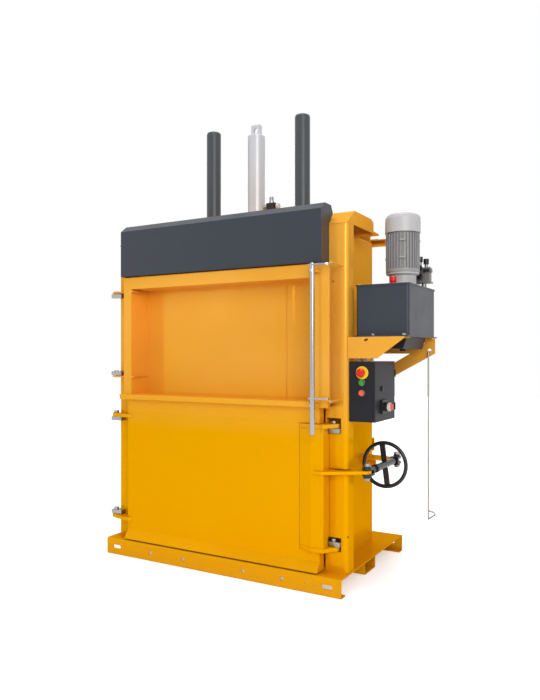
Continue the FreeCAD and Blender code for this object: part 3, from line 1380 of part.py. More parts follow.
def valve_coils():
    """Two knobs over the valve block, dials and a clamp on its front and a coil beside it."""
    left, near, low, high = valve_places()
    line = near + s.valve_depth / 2
    knobs = [rod(point, s.valve_knob, s.valve_knob_height) for point in valve_knobs()]
    dial_x = left + s.dial_inset + s.dial_radius / 2
    dials = [rod((dial_x, near - s.dial_length, z), s.dial_radius, s.dial_length, "Y")
             for z in (low + s.dial_low - s.dial_radius / 2, high - s.dial_radius / 6)]
    right = left + s.valve_width
    clamp = box((right - s.clamp_width, near - s.clamp_depth, high - s.valve_port_drop - s.clamp_height / 2),
                (right, near, high - s.valve_port_drop + s.clamp_height / 2))
    coil = rod((left - s.coil_inset, line, low), s.coil_radius, s.coil_height)
    return node(together(knobs + dials + [clamp, coil]), "valve_coils")


# ---------------------------------------------------------------- control box
def control_box():
    """Open-sided box on the right post, with holes in its front for the buttons' stems."""
    skin = s.box_sheet
    open_side = box_right - s.lid_depth
    corners = rectangle(box_left, box_front, open_side, box_back)
    shell = padded("XY", [corners], s.box_height, at=box_low,
                   rounds=[(skin, [(open_side, box_front), (open_side, box_back)])])
    hollow = box((box_left + skin, box_front + skin, box_low + skin),
                 (open_side + skin, box_back - skin, box_high - skin))
    bore = s.stem_radius + s.thread_gap
    holes = [rod((button_line, box_front - OVERRUN, z), bore, skin + 2 * OVERRUN, "Y")
             for z in (stop_height, start_height, reset_height)]
    return node(cut(shell, [hollow] + holes), "control_box")


def on_box_front(outline, height):
    """A turned piece on the control box's front, at a height."""
    return turned(outline, (button_line, box_front, height), Rotation(Vector(1, 0, 0), QUARTER_TURN))


def button_bezels():
    """Round plate behind the stop button and the rings round the two push buttons."""
    rings = []
    bore = s.stem_radius + s.thread_gap
    edge = s.bezel_edge
    for z, radius, height in ((stop_height, s.stop_plate_radius, s.stop_plate_height),
                              (start_height, s.bezel_radius, s.bezel_height),
                              (reset_height, s.bezel_radius, s.bezel_height)):
        outline = [(bore, 0), (radius, 0), (radius, height - edge), (radius - edge, height), (bore, height)]
        rings.append(on_box_front(outline, z))
    return node(together(rings), "button_bezels")


def stop_button():
    """Mushroom button that is pushed in to stop the press."""
    stem = s.stem_radius
    head = s.mushroom_radius
    low = s.mushroom_low
    high = low + s.mushroom_height
    edge = s.cap_edge
    outline = [(0, -s.stem_length), (stem, -s.stem_length), (stem, low), (head - edge, low),
               (head, low + edge), (head, high - 2 * edge), (head - edge, high - edge),
               (head - 2 * edge, high), (0, high)]
    return node(on_box_front(outline, stop_height), "stop_button")


def push_button(height, name):
    """Flat round push button in its ring."""
    stem = s.stem_radius
    cap = s.bezel_radius - s.box_sheet
    low = s.mushroom_low
    high = s.cap_top
    edge = s.bezel_edge
    outline = [(0, -s.stem_length), (stem, -s.stem_length), (stem, low), (cap, low), (cap, high - edge),
               (cap - edge, high), (0, high)]
    return node(on_box_front(outline, height), name)


def control_lid():
    """Lid of the control box, a tray over its open side, with two hinge pins at its back edge."""
    skin = s.box_sheet
    edge = 3 * skin
    left = box_right - s.lid_depth
    corners = rectangle(left, box_front, box_right, box_back)
    body = padded("XY", [corners], s.box_height, at=box_low,
                  rounds=[(skin, [(box_right, box_front), (box_right, box_back)])])
    hollow = box((left - OVERRUN, box_front + edge, box_low + edge),
                 (box_right - skin, box_back - edge, box_high - edge))
    pins = [rod((box_right, box_back, z), s.lid_pin_radius, s.lid_pin_length)
            for z in (box_low + s.lid_pin_end, box_high - s.lid_pin_end - s.lid_pin_length)]
    return node(fuse([cut(body, [hollow])] + pins), "control_lid")


def lid_fittings():
    """Quarter-turn lock and the main switch's base on the lid."""
    x = box_right
    line = box_front + s.lid_lock_setback
    height = box_low + s.lid_lock_rise
    lock = rod((x, line, height), s.lid_lock_radius, s.lid_lock_height, "X")
    half = s.lid_lock_slot / 2
    thin = s.lid_lock_slot_width / 2
    slot = box((x + s.lid_lock_height / 2, line - half, height - thin),
               (x + s.lid_lock_height + OVERRUN, line + half, height + thin))
    plate = s.switch_plate
    base = box((x, switch_line - plate, switch_height - plate),
               (x + s.switch_plate_height, switch_line + plate, switch_height + plate))
    collar = rod((x + s.switch_plate_height - SINK, switch_line, switch_height), s.switch_collar,
                 s.switch_collar_height + SINK, "X")
    bore = rod((x + s.switch_plate_height / 2, switch_line, switch_height), s.stem_radius + s.thread_gap,
               s.switch_plate_height + s.switch_collar_height, "X")
    return node(together([cut(lock, [slot]), cut(fuse([base, collar]), [bore])]), "lid_fittings")


def switch_knob():
    """Turning knob of the main switch, with a raised grip across it."""
    x = box_right + s.switch_plate_height + s.switch_collar_height + s.thread_gap
    face = x + s.switch_disc_height
    disc = rod((x, switch_line, switch_height), s.switch_disc, s.switch_disc_height, "X")
    hub = rod((face - SINK, switch_line, switch_height), s.switch_hub, s.switch_hub_height, "X")
    half = s.switch_grip / 2
    thin = s.switch_grip_width / 2
    grip = box((face - SINK, switch_line - thin, switch_height - half),
               (face + s.switch_grip_height, switch_line + thin, switch_height + half))
    stem = rod((x - s.switch_collar_height, switch_line, switch_height), s.stem_radius,
               s.switch_collar_height + SINK, "X")
    return node(fuse([disc, hub, grip, stem]), "switch_knob")


def cable_glands():
    """Cable glands on the control box's top."""
    glands = []
    y = box_front + s.gland_setback
    for step in (1, 2, 3):
        x = box_left + step * s.gland_pitch
        body = hexagon(x, y, s.gland_hexagon, s.gland_nut, box_high)
        stem = rod((x, y, box_high + s.gland_nut - SINK), s.gland_stem, s.gland_stem_height + SINK)
        glands.append(fuse([body, stem]))
    return node(together(glands), "cable_glands")


# ---------------------------------------------------------------- hook tool
def hook_tool():
    """Strap puller: a round bar bent over its hook at the top and into a small eye at its foot."""
    x = tool_right
    radius = s.tool_radius
    line = brace_line + s.bracket_sheet / 2
    hang = tool_hang - s.tool_hole + radius + s.thread_gap
    run = s.tool_hook
    near = line - run
    low = tool_hang - s.tool_length
    reach = s.tool_grip_reach
    grip = low + s.tool_grip
    nose = s.tool_grip_nose
    knots = [(x, line + run, hang + s.tool_hook_end), (x, line + run, hang), (x, near, hang), (x, near, low),
             (x + reach, near, grip - nose), (x + reach - nose / 2, near, grip - nose / 3), (x, near, grip)]
    return node(bent_bar(knots, radius), "hook_tool")


def bent_bar(knots, radius):
    """Round bars from knot to knot with a ball at each bend; every bar lies in a plane of two axes."""
    pieces = []
    for first, second in zip(knots, knots[1:]):
        run = [end - start for start, end in zip(first, second)]
        bar = doc.addObject("Part::Cylinder", "bar")
        length = math.sqrt(sum(float(step) ** 2 for step in run))
        heading = Vector(*[float(step) for step in run])
        bar.Height = length
        bind(bar, Radius=radius)
        squares = " + ".join(f"pow({as_size(step).text}; 2)" for step in run)
        bar.setExpression("Height", f"sqrt({squares})")
        pieces.append(place(bar, first, Rotation(UP, heading)))
    for knot in knots[1:]:
        ball = doc.addObject("Part::Sphere", "ball")
        bind(ball, Radius=radius)
        pieces.append(place(ball, knot))
    return fuse(pieces)


def build():
    """Makes every sub-part."""
    base_frame()
    centre_beam()
    post(-1, [], "left_post")
    post(1, lock_windows(), "right_post")
    wall(-1, "left_wall")
    wall(1, "right_wall")
    back_wall()
    back_rails()
    chamber_floor()
    head_beam()
    head_hood(-1, "left_hood")
    head_hood(1, "right_hood")
    header_cover()
    cylinder_barrel()
    cylinder_gland()
    cylinder_port()
    guide_bushes()
    platen()
    guide_tubes()
    piston_rod()
    hinge_blocks()
    hinge_pins()
    filling_door()
    filling_hinge_plates()
    bale_door()
    bale_hinge_plates()
    lock_blocks()
    lock_pins()
    lock_beam()
    lock_lever()
    front_fork()
    back_fork()
    handwheel()
    link_arm()
    latch_rod()
    latch_guides()
    latch_keepers()
    front_bracket()
    back_bracket()
    oil_tank()
    tank_bolts()
    oil_sump()
    filler_cap()
    bell_housing()
    motor_housing()
    motor_cowl()
    motor_fan()
    terminal_box()
    valve_block()
    valve_coils()
    control_box()
    control_lid()
    lid_fittings()
    switch_knob()
    button_bezels()
    stop_button()
    push_button(start_height, "start_button")
    push_button(reset_height, "reset_button")
    cable_glands()
    hook_tool()


def check_and_export():
    """Stops at any faulty object, then writes one file for each sub-part."""
    doc.recompute()
    faulty = [thing.Label for thing in doc.Objects if "Invalid" in thing.State or "Error" in thing.State]
    if faulty:
        raise RuntimeError("Objects in error: " + ", ".join(faulty))
    for thing in NODES:
        if thing.Shape.isNull() or not thing.Shape.isValid():
            raise RuntimeError("Faulty shape: " + thing.Label)
        thing.Shape.exportStep("parts/" + thing.Label + ".step")
    print(len(NODES), "sub-parts written")


build()
check_and_export()
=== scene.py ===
"""Looks, stage and camera for a recycling baler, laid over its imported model."""

import math

import bmesh
import bpy
from bpy.props import FloatProperty, FloatVectorProperty, PointerProperty
from mathutils import Matrix, Vector


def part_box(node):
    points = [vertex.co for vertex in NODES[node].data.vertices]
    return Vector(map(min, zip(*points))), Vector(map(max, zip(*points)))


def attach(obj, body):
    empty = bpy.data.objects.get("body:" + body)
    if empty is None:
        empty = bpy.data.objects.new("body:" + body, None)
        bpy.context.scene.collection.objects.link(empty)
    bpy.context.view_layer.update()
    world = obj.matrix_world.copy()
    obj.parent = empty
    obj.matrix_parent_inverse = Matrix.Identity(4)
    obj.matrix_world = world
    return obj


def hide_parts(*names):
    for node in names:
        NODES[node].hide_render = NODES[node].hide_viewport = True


bl_info = {
    "name": "Recycling Baler Looks",
    "version": (1, 0, 0),
    "blender": (4, 5, 0),
    "location": "3D View > Sidebar > Baler",
    "description": "Dresses the baler with its finishes, welds, fasteners and stage",
    "category": "Object",
}

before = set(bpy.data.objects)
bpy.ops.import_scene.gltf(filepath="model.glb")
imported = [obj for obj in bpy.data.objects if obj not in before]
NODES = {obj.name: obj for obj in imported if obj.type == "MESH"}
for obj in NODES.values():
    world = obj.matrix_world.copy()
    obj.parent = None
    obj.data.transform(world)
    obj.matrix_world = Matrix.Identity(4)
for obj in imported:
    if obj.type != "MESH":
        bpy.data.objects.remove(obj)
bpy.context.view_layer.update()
MM = 0.001

UP, DOWN = (0, 0, 1), (0, 0, -1)
FORWARD, BACKWARD = (0, -1, 0), (0, 1, 0)
RIGHT = (1, 0, 0)


# ------------------------------------------------------------------ what a user may change
def linear(hex_colour):
    """An sRGB hex colour such as "E8A200" as linear red, green, blue and alpha."""
    levels = [int(hex_colour[i:i + 2], 16) / 255 for i in (0, 2, 4)]
    return [c / 12.92 if c <= 0.04045 else ((c + 0.055) / 1.055) ** 2.4 for c in levels] + [1.0]


def colour_property(title, hex_colour, description):
    """A colour that a user may change."""
    return FloatVectorProperty(name=title, description=description, subtype="COLOR", size=4,
                               min=0, max=1, default=linear(hex_colour))


def length_property(title, size, description):
    """A length that a user may change, given in millimetres and kept in metres."""
    return FloatProperty(name=title, description=description, default=size * MM, unit="LENGTH")


class BalerColours(bpy.types.PropertyGroup):
    """Colours of the baler's finishes."""
    enamel: colour_property("Body enamel", "DE9D02", "Gloss enamel of the frame and doors, low down")
    # painted sheen: the same enamel drawn paler above the ledge, where light shines on it
    enamel_painted_sheen: colour_property("Body enamel, high", "E6A644",
                                 "The same enamel above the ledge, where it is paler")
    header: colour_property("Header enamel", "31363F", "Satin enamel of the header cover and the tank")
    tube: colour_property("Tube enamel", "3F4347",
                          "Satin enamel of the guide tubes, slightly paler than the cover")
    box: colour_property("Control box", "1D1D22", "Textured powder coat of the control box")
    motor: colour_property("Motor enamel", "B4B2B2", "Satin enamel of the motor's cowl and housing ends")
    # painted shade: a darker copy of the motor's enamel, drawn on the finned casting for the shade between
    # its fins
    casting: colour_property("Motor casting", "969494", "Satin enamel over the finned casting")
    cylinder: colour_property("Cylinder", "BDBEC2", "Silver enamel of the hydraulic cylinder")
    wheel: colour_property("Handwheel", "1B1C1F", "Satin enamel of the handwheel and its forks")
    stop: colour_property("Stop red", "D8180E", "Moulded stop button and filler cap")
    start: colour_property("Start green", "1C9A34", "Moulded start button")
    reset: colour_property("Reset orange", "F0603A", "Moulded reset button and switch grip")
    plate: colour_property("Stop plate yellow", "F6D21A", "Moulded plate behind the stop button")
    floor: colour_property("Floor", "F4F4F4", "Pale studio floor")


class BalerSizes(bpy.types.PropertyGroup):
    """Sizes of the added detail."""
    weld: length_property("Weld leg", 6, "Width of a weld bead")
    ripple: length_property("Weld ripple", 4, "Spacing of a weld's ripples")
    flange_bolt: length_property("Cylinder bolt", 15, "Width of its head across the corners")
    guide_bolt: length_property("Guide bolt", 10, "Width of its head across the corners")
    motor_bolt: length_property("Motor bolt", 11, "Width of its head across the corners")
    pitch: length_property("Screw pitch", 4, "Pitch of the turnbuckle's thread")
    floor: length_property("Floor radius", 14000, "Radius of the studio floor")


def paint(name):
    """A colour that a user may change, as red, green, blue and alpha."""
    return list(getattr(bpy.context.scene.baler_colours, name))


def length(name):
    """A length that a user may change, in millimetres."""
    return getattr(bpy.context.scene.baler_sizes, name) / MM


# ------------------------------------------------------------------ materials
# a Mix node has sockets for each kind of data: these are the ones of its colours
FACTOR, FIRST, SECOND, MIXED = 0, 6, 7, 2


def add(tree, kind, settings=None, links=None):
    """Adds a node, sets its properties and sockets, and links its sockets to other nodes' outputs."""
    made = tree.nodes.new(kind)
    for key, value in (settings or {}).items():
        if isinstance(key, str) and hasattr(made, key):
            setattr(made, key, value)
        else:
            made.inputs[key].default_value = value
    for key, (source, output) in (links or {}).items():
        tree.links.new(source.outputs[output], made.inputs[key])
    return made


def pattern(size):
    """Scale of a noise whose waves have a real size in millimetres."""
    return 1 / (size * MM)


def dimmed(colour, share):
    """A colour with its light scaled by a share."""
    return [level * share for level in colour[:3]] + [1.0]


def new_material(name):
    """An empty material, its node tree, and the object's coordinates as a link for a texture."""
    material = bpy.data.materials.new(name)
    material.use_nodes = True
    tree = material.node_tree
    tree.nodes.clear()
    return material, tree, {"Vector": (add(tree, "ShaderNodeTexCoord"), "Object")}


def soft_normal(tree, radius, height, strength, depth):
    """A bump over edges that are rounded, as spray and dressing leave them; in millimetres."""
    edge = add(tree, "ShaderNodeBevel", {"samples": 4, "Radius": radius * MM})
    return add(tree, "ShaderNodeBump", {"Strength": strength, "Distance": depth * MM},
               {"Height": height, "Normal": (edge, "Normal")})


def body_enamel(name, low, high):
    """Gloss enamel sprayed on folded steel sheet, with a painted sheen that draws it paler above the ledge,
    orange peel, a slow buckle, and dust by the floor. Its shine takes on the pigment's colour, as a metal's
    does."""
    material, tree, place = new_material(name)
    height = add(tree, "ShaderNodeSeparateXYZ", links=place)
    # painted sheen: from 700 mm up to 1000 mm the coat turns to the paler colour drawn above the ledge
    sheen_rise = add(tree, "ShaderNodeMapRange", {"From Min": 700 * MM, "From Max": 1000 * MM},
               {"Value": (height, "Z")})
    coat = add(tree, "ShaderNodeMix", {"data_type": "RGBA", FIRST: low, SECOND: high},
               {FACTOR: (sheen_rise, "Result")})
    # the coat is deeper in slow clouds of about 560 mm
    clouds = add(tree, "ShaderNodeTexNoise", {"Scale": pattern(556), "Detail": 3.0}, place)
    tone = add(tree, "ShaderNodeMapRange", {"From Min": 0.3, "From Max": 0.7, "To Max": 0.5},
               {"Value": (clouds, "Fac")})
    deep = add(tree, "ShaderNodeMix", {"data_type": "RGBA", SECOND: linear("DE9600")},
               {FACTOR: (tone, "Result"), FIRST: (coat, MIXED)})
    # dust and splashes gather on the lowest 160 mm, in specks of about 30 mm
    reach = add(tree, "ShaderNodeMapRange", {"From Min": 160 * MM, "From Max": 0.0, "To Max": 0.30},
                {"Value": (height, "Z")})
    specks = add(tree, "ShaderNodeTexNoise", {"Scale": pattern(33.3), "Detail": 6.0}, place)
    amount = add(tree, "ShaderNodeMath", {"operation": "MULTIPLY"},
                 {0: (reach, "Result"), 1: (specks, "Fac")})
    soiled = add(tree, "ShaderNodeMix", {"data_type": "RGBA", SECOND: linear("9A7440")},
                 {FACTOR: (amount, "Value"), FIRST: (deep, MIXED)})
    # hands and rags leave smears in the shine, of about 170 mm
    smears = add(tree, "ShaderNodeTexNoise", {"Scale": pattern(167), "Detail": 4.0}, place)
    gloss = add(tree, "ShaderNodeMapRange",
                {"From Min": 0.3, "From Max": 0.7, "To Min": 0.11, "To Max": 0.17},
                {"Value": (smears, "Fac")})
    # orange peel waves of about 6 mm lie on the slow buckle of a wide sheet, about 500 mm
    slow = add(tree, "ShaderNodeTexNoise", {"Scale": pattern(500), "Detail": 1.0}, place)
    buckle = soft_normal(tree, 2.5, (slow, "Fac"), strength=0.03, depth=10)
    peel = add(tree, "ShaderNodeTexNoise", {"Scale": pattern(6.25), "Detail": 1.0}, place)
    waves = add(tree, "ShaderNodeBump", {"Strength": 0.12, "Distance": 0.5 * MM},
                {"Height": (peel, "Fac"), "Normal": (buckle, "Normal")})
    shader = add(tree, "ShaderNodeBsdfPrincipled",
                 {"Metallic": 0.20, "Specular IOR Level": 0.0, "Specular Tint": linear("FFC070")},
                 {"Base Color": (soiled, MIXED), "Roughness": (gloss, "Result"),
                  "Normal": (waves, "Normal")})
    add(tree, "ShaderNodeOutputMaterial", links={"Surface": (shader, "BSDF")})
    return material


def satin_enamel(name, colour, roughness, shine):
    """Sprayed satin enamel: slow changes of depth, orange peel of 6 mm and faint smears in its shine."""
    material, tree, place = new_material(name)
    clouds = add(tree, "ShaderNodeTexNoise", {"Scale": pattern(333), "Detail": 3.0}, place)
    depth = add(tree, "ShaderNodeMix",
                {"data_type": "RGBA", FIRST: colour, SECOND: dimmed(colour, 0.9)},
                {FACTOR: (clouds, "Fac")})
    smears = add(tree, "ShaderNodeTexNoise", {"Scale": pattern(111), "Detail": 5.0}, place)
    gloss = add(tree, "ShaderNodeMapRange",
                {"From Min": 0.3, "From Max": 0.7, "To Min": roughness - 0.03, "To Max": roughness + 0.05},
                {"Value": (smears, "Fac")})
    peel = add(tree, "ShaderNodeTexNoise", {"Scale": pattern(6.25), "Detail": 1.0}, place)
    waves = soft_normal(tree, 2, (peel, "Fac"), strength=0.10, depth=0.5)
    shader = add(tree, "ShaderNodeBsdfPrincipled", {"Specular IOR Level": shine},
                 {"Base Color": (depth, MIXED), "Roughness": (gloss, "Result"), "Normal": (waves, "Normal")})
    add(tree, "ShaderNodeOutputMaterial", links={"Surface": (shader, "BSDF")})
    return material


def textured_coat(name, colour):
    """Powder coat baked on sheet steel, with a fine grain of about 1.5 mm that breaks up the shine."""
    material, tree, place = new_material(name)
    grain = add(tree, "ShaderNodeTexNoise", {"Scale": pattern(1.54), "Detail": 2.0}, place)
    tone = add(tree, "ShaderNodeTexNoise", {"Scale": pattern(111), "Detail": 4.0}, place)
    shade = add(tree, "ShaderNodeMix",
                {"data_type": "RGBA", FIRST: dimmed(colour, 0.85), SECOND: dimmed(colour, 1.2)},
                {FACTOR: (tone, "Fac")})
    bumps = soft_normal(tree, 2, (grain, "Fac"), strength=0.35, depth=0.4)
    shader = add(tree, "ShaderNodeBsdfPrincipled", {"Roughness": 0.45, "Specular IOR Level": 0.18},
                 {"Base Color": (shade, MIXED), "Normal": (bumps, "Normal")})
    add(tree, "ShaderNodeOutputMaterial", links={"Surface": (shader, "BSDF")})
    return material


def metal(name, colour, roughness, marks, blotch=0.3, relief=0.12):
    """Bare or plated metal: tool marks of a size in millimetres, and patches of 22 mm where it is duller."""
    material, tree, place = new_material(name)
    tooling = add(tree, "ShaderNodeTexNoise", {"Scale": pattern(marks), "Detail": 3.0}, place)
    patches = add(tree, "ShaderNodeTexNoise", {"Scale": pattern(22.2), "Detail": 4.0}, place)
    shade = add(tree, "ShaderNodeMix",
                {"data_type": "RGBA", FIRST: dimmed(colour, 1 - blotch), SECOND: colour},
                {FACTOR: (patches, "Fac")})
    gloss = add(tree, "ShaderNodeMapRange", {"To Min": roughness - 0.04, "To Max": roughness + relief / 2},
                {"Value": (tooling, "Fac")})
    bumps = soft_normal(tree, 1.2, (tooling, "Fac"), strength=relief, depth=0.2)
    shader = add(tree, "ShaderNodeBsdfPrincipled", {"Metallic": 1.0},
                 {"Base Color": (shade, MIXED), "Roughness": (gloss, "Result"), "Normal": (bumps, "Normal")})
    add(tree, "ShaderNodeOutputMaterial", links={"Surface": (shader, "BSDF")})
    return material


def moulded(name, colour, roughness):
    """Moulded plastic: its mould's grain, drawn as coarse as 3 mm, and a slow change of tone."""
    material, tree, place = new_material(name)
    grain = add(tree, "ShaderNodeTexNoise", {"Scale": pattern(3.33), "Detail": 2.0}, place)
    tone = add(tree, "ShaderNodeTexNoise", {"Scale": pattern(33.3), "Detail": 2.0}, place)
    shade = add(tree, "ShaderNodeMix",
                {"data_type": "RGBA", FIRST: dimmed(colour, 0.88), SECOND: colour},
                {FACTOR: (tone, "Fac")})
    bumps = soft_normal(tree, 0.8, (grain, "Fac"), strength=0.15, depth=0.3)
    shader = add(tree, "ShaderNodeBsdfPrincipled", {"Roughness": roughness, "Specular IOR Level": 0.35},
                 {"Base Color": (shade, MIXED), "Normal": (bumps, "Normal")})
    add(tree, "ShaderNodeOutputMaterial", links={"Surface": (shader, "BSDF")})
    return material


WHITE = (1, 1, 1, 1)


def seen_rays(tree, path):
    """A link that is 1 for camera rays and glossy rays, made from a light path's node."""
    seen = add(tree, "ShaderNodeMath", {"operation": "MAXIMUM"},
               {0: (path, "Is Camera Ray"), 1: (path, "Is Glossy Ray")})
    return seen, "Value"


def studio_paper():
    """Pale paper that brightens to white far out, so that no horizon shows."""
    material, tree, place = new_material("studio_paper")
    sheen = add(tree, "ShaderNodeTexNoise", {"Scale": pattern(333), "Detail": 2.0}, place)
    tone = add(tree, "ShaderNodeMapRange", {"To Min": 0.55, "To Max": 0.65}, {"Value": (sheen, "Fac")})
    paper = add(tree, "ShaderNodeBsdfPrincipled", {"Base Color": paint("floor")},
                {"Roughness": (tone, "Result")})
    reach = add(tree, "ShaderNodeVectorMath", {"operation": "LENGTH"}, {0: place["Vector"]})
    fade = add(tree, "ShaderNodeMapRange",
               {"From Min": 3.0, "From Max": 12.0, "To Min": 0.42, "To Max": 1.0},
               {"Value": (reach, "Value")})
    glow = add(tree, "ShaderNodeEmission", {"Color": WHITE}, {"Strength": (fade, "Result")})
    lit = add(tree, "ShaderNodeAddShader", links={0: (paper, "BSDF"), 1: (glow, "Emission")})
    seen = seen_rays(tree, add(tree, "ShaderNodeLightPath"))
    shown = add(tree, "ShaderNodeMixShader", links={0: seen, 1: (paper, "BSDF"), 2: (lit, "Shader")})
    add(tree, "ShaderNodeOutputMaterial", links={"Surface": (shown, "Shader")})
    return material


FINISHES = {}


def make_finishes():
    """Every finish of the machine, by name."""
    FINISHES.update({
        "gloss_enamel": body_enamel("gloss_enamel_orange", paint("enamel"), paint("enamel_painted_sheen")),
        "header_enamel": satin_enamel("satin_enamel_dark_grey", paint("header"), 0.36, shine=0.30),
        "tube_enamel": satin_enamel("satin_enamel_over_tube", paint("tube"), 0.34, shine=0.35),
        "motor_enamel": satin_enamel("satin_enamel_light_grey", paint("motor"), 0.38, shine=0.4),
        # painted shade: the motor's enamel drawn darker on the casting, for the shade in its fin gaps
        "casting_shaded_enamel": satin_enamel("satin_enamel_over_casting", paint("casting"), 0.42, shine=0.3),
        "cylinder_enamel": satin_enamel("silver_enamel", paint("cylinder"), 0.22, shine=0.9),
        "wheel_enamel": satin_enamel("satin_enamel_black", paint("wheel"), 0.30, shine=0.4),
        "powder_coat": textured_coat("powder_coat_black", paint("box")),
        "zinc": metal("zinc_plate", linear("A9A8A5"), 0.34, marks=11.1),
        "hard_chrome": metal("hard_chrome", linear("A6A7AA"), 0.20, marks=16.7, blotch=0.03, relief=0.01),
        "bare_steel": metal("mill_finish_steel", linear("8F8E8C"), 0.42, marks=8.33),
        "cast_iron": metal("machined_cast_iron", linear("5A5A5C"), 0.5, marks=6.67),
        "red_plastic": moulded("red_moulding", paint("stop"), 0.28),
        "green_plastic": moulded("green_moulding", paint("start"), 0.3),
        "orange_plastic": moulded("orange_moulding", paint("reset"), 0.3),
        "yellow_plastic": moulded("yellow_moulding", paint("plate"), 0.35),
        "black_plastic": moulded("black_moulding", linear("161618"), 0.42),
        "white_plastic": moulded("white_moulding", linear("CDCDCB"), 0.35),
        "grey_plastic": moulded("grey_moulding", linear("E4E3DE"), 0.4),
    })


NODE_FINISH = {
    "gloss_enamel": """base_frame centre_beam left_post right_post left_wall right_wall back_wall
        back_rails chamber_floor head_beam left_hood right_hood filling_door filling_hinge_plates
        bale_door bale_hinge_plates lock_beam lock_lever link_arm latch_guides latch_keepers platen
        front_bracket back_bracket""",
    "header_enamel": "header_cover oil_tank",
    "tube_enamel": "guide_tubes",
    "powder_coat": "control_box control_lid oil_sump",
    "motor_enamel": "motor_cowl terminal_box bell_housing",
    "casting_shaded_enamel": "motor_housing",
    "cylinder_enamel": "cylinder_barrel",
    "zinc": "hinge_blocks hinge_pins lock_blocks lock_pins tank_bolts cylinder_port hook_tool",
    "bare_steel": "valve_block",
    "hard_chrome": "latch_rod piston_rod",
    "cast_iron": "cylinder_gland guide_bushes",
    "wheel_enamel": "handwheel front_fork back_fork",
    "black_plastic": "motor_fan valve_coils lid_fittings",
    "grey_plastic": "cable_glands",
    "red_plastic": "filler_cap stop_button",
    "orange_plastic": "reset_button switch_knob",
    "green_plastic": "start_button",
    "yellow_plastic": "button_bezels",
}


# ------------------------------------------------------------------ mesh helpers, in millimetres
def finish_piece(name, bm, finish, body, smooth_angle=35):
    """Makes a bmesh a piece in metres, with its finish, riding on a body."""
    bmesh.ops.scale(bm, verts=bm.verts, vec=(MM, MM, MM))
    bmesh.ops.remove_doubles(bm, verts=bm.verts, dist=MM * MM)
    bmesh.ops.recalc_face_normals(bm, faces=bm.faces)
    mesh = bpy.data.meshes.new(name)
    bm.to_mesh(mesh)
    bm.free()
    mesh.materials.append(FINISHES[finish])
    mesh.shade_smooth()
    mesh.set_sharp_from_angle(angle=math.radians(smooth_angle))
    piece = bpy.data.objects.new(name, mesh)
    bpy.context.scene.collection.objects.link(piece)
    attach(piece, body)
    return piece


def corners(node):
    """Lowest and highest corners of a node of the model."""
    return [Vector(corner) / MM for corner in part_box(node)]


def lay_along(bm, verts, start, direction):
    """Turns new vertices made about Z to point along a direction, and moves them to a start."""
    turn = Vector(UP).rotation_difference(Vector(direction)).to_matrix().to_4x4()
    bmesh.ops.transform(bm, matrix=Matrix.Translation(Vector(start)) @ turn, verts=verts)


def closed_chain(bm, verts):
    """Edges that join vertices in a closed chain."""
    return [bm.edges.new(pair) for pair in zip(verts, verts[1:] + verts[:1])]


def ring_stack(bm, start, direction, rings, segments=24):
    """A closed turned shape: rings is a list of (height, radius) from its foot to its top."""
    loops = [bmesh.ops.create_circle(bm, segments=segments, radius=radius,
                                     matrix=Matrix.Translation((0, 0, height)))["verts"]
             for height, radius in rings]
    rims = [list(dict.fromkeys(edge for vert in loop for edge in vert.link_edges)) for loop in loops]
    for low, high in zip(rims, rims[1:]):
        bmesh.ops.bridge_loops(bm, edges=low + high)
    for loop in (loops[0], loops[-1]):
        bmesh.ops.contextual_create(bm, geom=loop)
    lay_along(bm, [vert for loop in loops for vert in loop], start, direction)


def spun_ring(bm, start, direction, profile):
    """A closed section swung round an axis: profile is its (place along the axis, radius)."""
    before = set(bm.verts)
    verts = [bm.verts.new((radius, 0, height)) for height, radius in profile]
    bmesh.ops.spin(bm, geom=verts + closed_chain(bm, verts), cent=(0, 0, 0), axis=UP, angle=math.tau,
                   steps=72, use_merge=True, use_duplicate=False)
    lay_along(bm, [v for v in bm.verts if v not in before], start, direction)


def pierced_plate(bm, outline, front, thickness, hole, size, lean=0):
    """A plate that faces the front, with an oval hole: the outline, the hole and its size are (x, z)."""
    verts = [bm.verts.new((x, front, z)) for x, z in outline]
    edges = closed_chain(bm, verts)
    oval = bmesh.ops.create_circle(bm, segments=32, radius=0.5)["verts"]
    bmesh.ops.scale(bm, verts=oval, vec=(size[0], size[1], 1))
    turn = Matrix.Rotation(math.radians(-lean), 4, "Y") @ Matrix.Rotation(math.radians(90), 4, "X")
    place = Matrix.Translation((hole[0], front, hole[1]))
    bmesh.ops.transform(bm, verts=oval, matrix=place @ turn)
    edges += list(dict.fromkeys(edge for vert in oval for edge in vert.link_edges))
    filled = bmesh.ops.triangle_fill(bm, edges=edges)["geom"]
    faces = [f for f in filled if isinstance(f, bmesh.types.BMFace)]
    pushed = bmesh.ops.extrude_face_region(bm, geom=faces, use_keep_orig=True)["geom"]
    back = [v for v in pushed if isinstance(v, bmesh.types.BMVert)]
    bmesh.ops.translate(bm, verts=back, vec=(0, thickness, 0))


def bar(bm, low, high):
    """A rectangular bar between two corners; returns its vertices."""
    verts = bmesh.ops.create_cube(bm, size=1)["verts"]
    bmesh.ops.scale(bm, verts=verts, vec=Vector(high) - Vector(low))
    bmesh.ops.translate(bm, verts=verts, vec=(Vector(high) + Vector(low)) / 2)
    return verts


def turned_piece(name, seat, direction, rings, finish, body):
    """A turned piece that starts at a seat."""
    bm = bmesh.new()
    ring_stack(bm, seat, direction, rings, segments=40)
    return finish_piece(name, bm, finish, body)


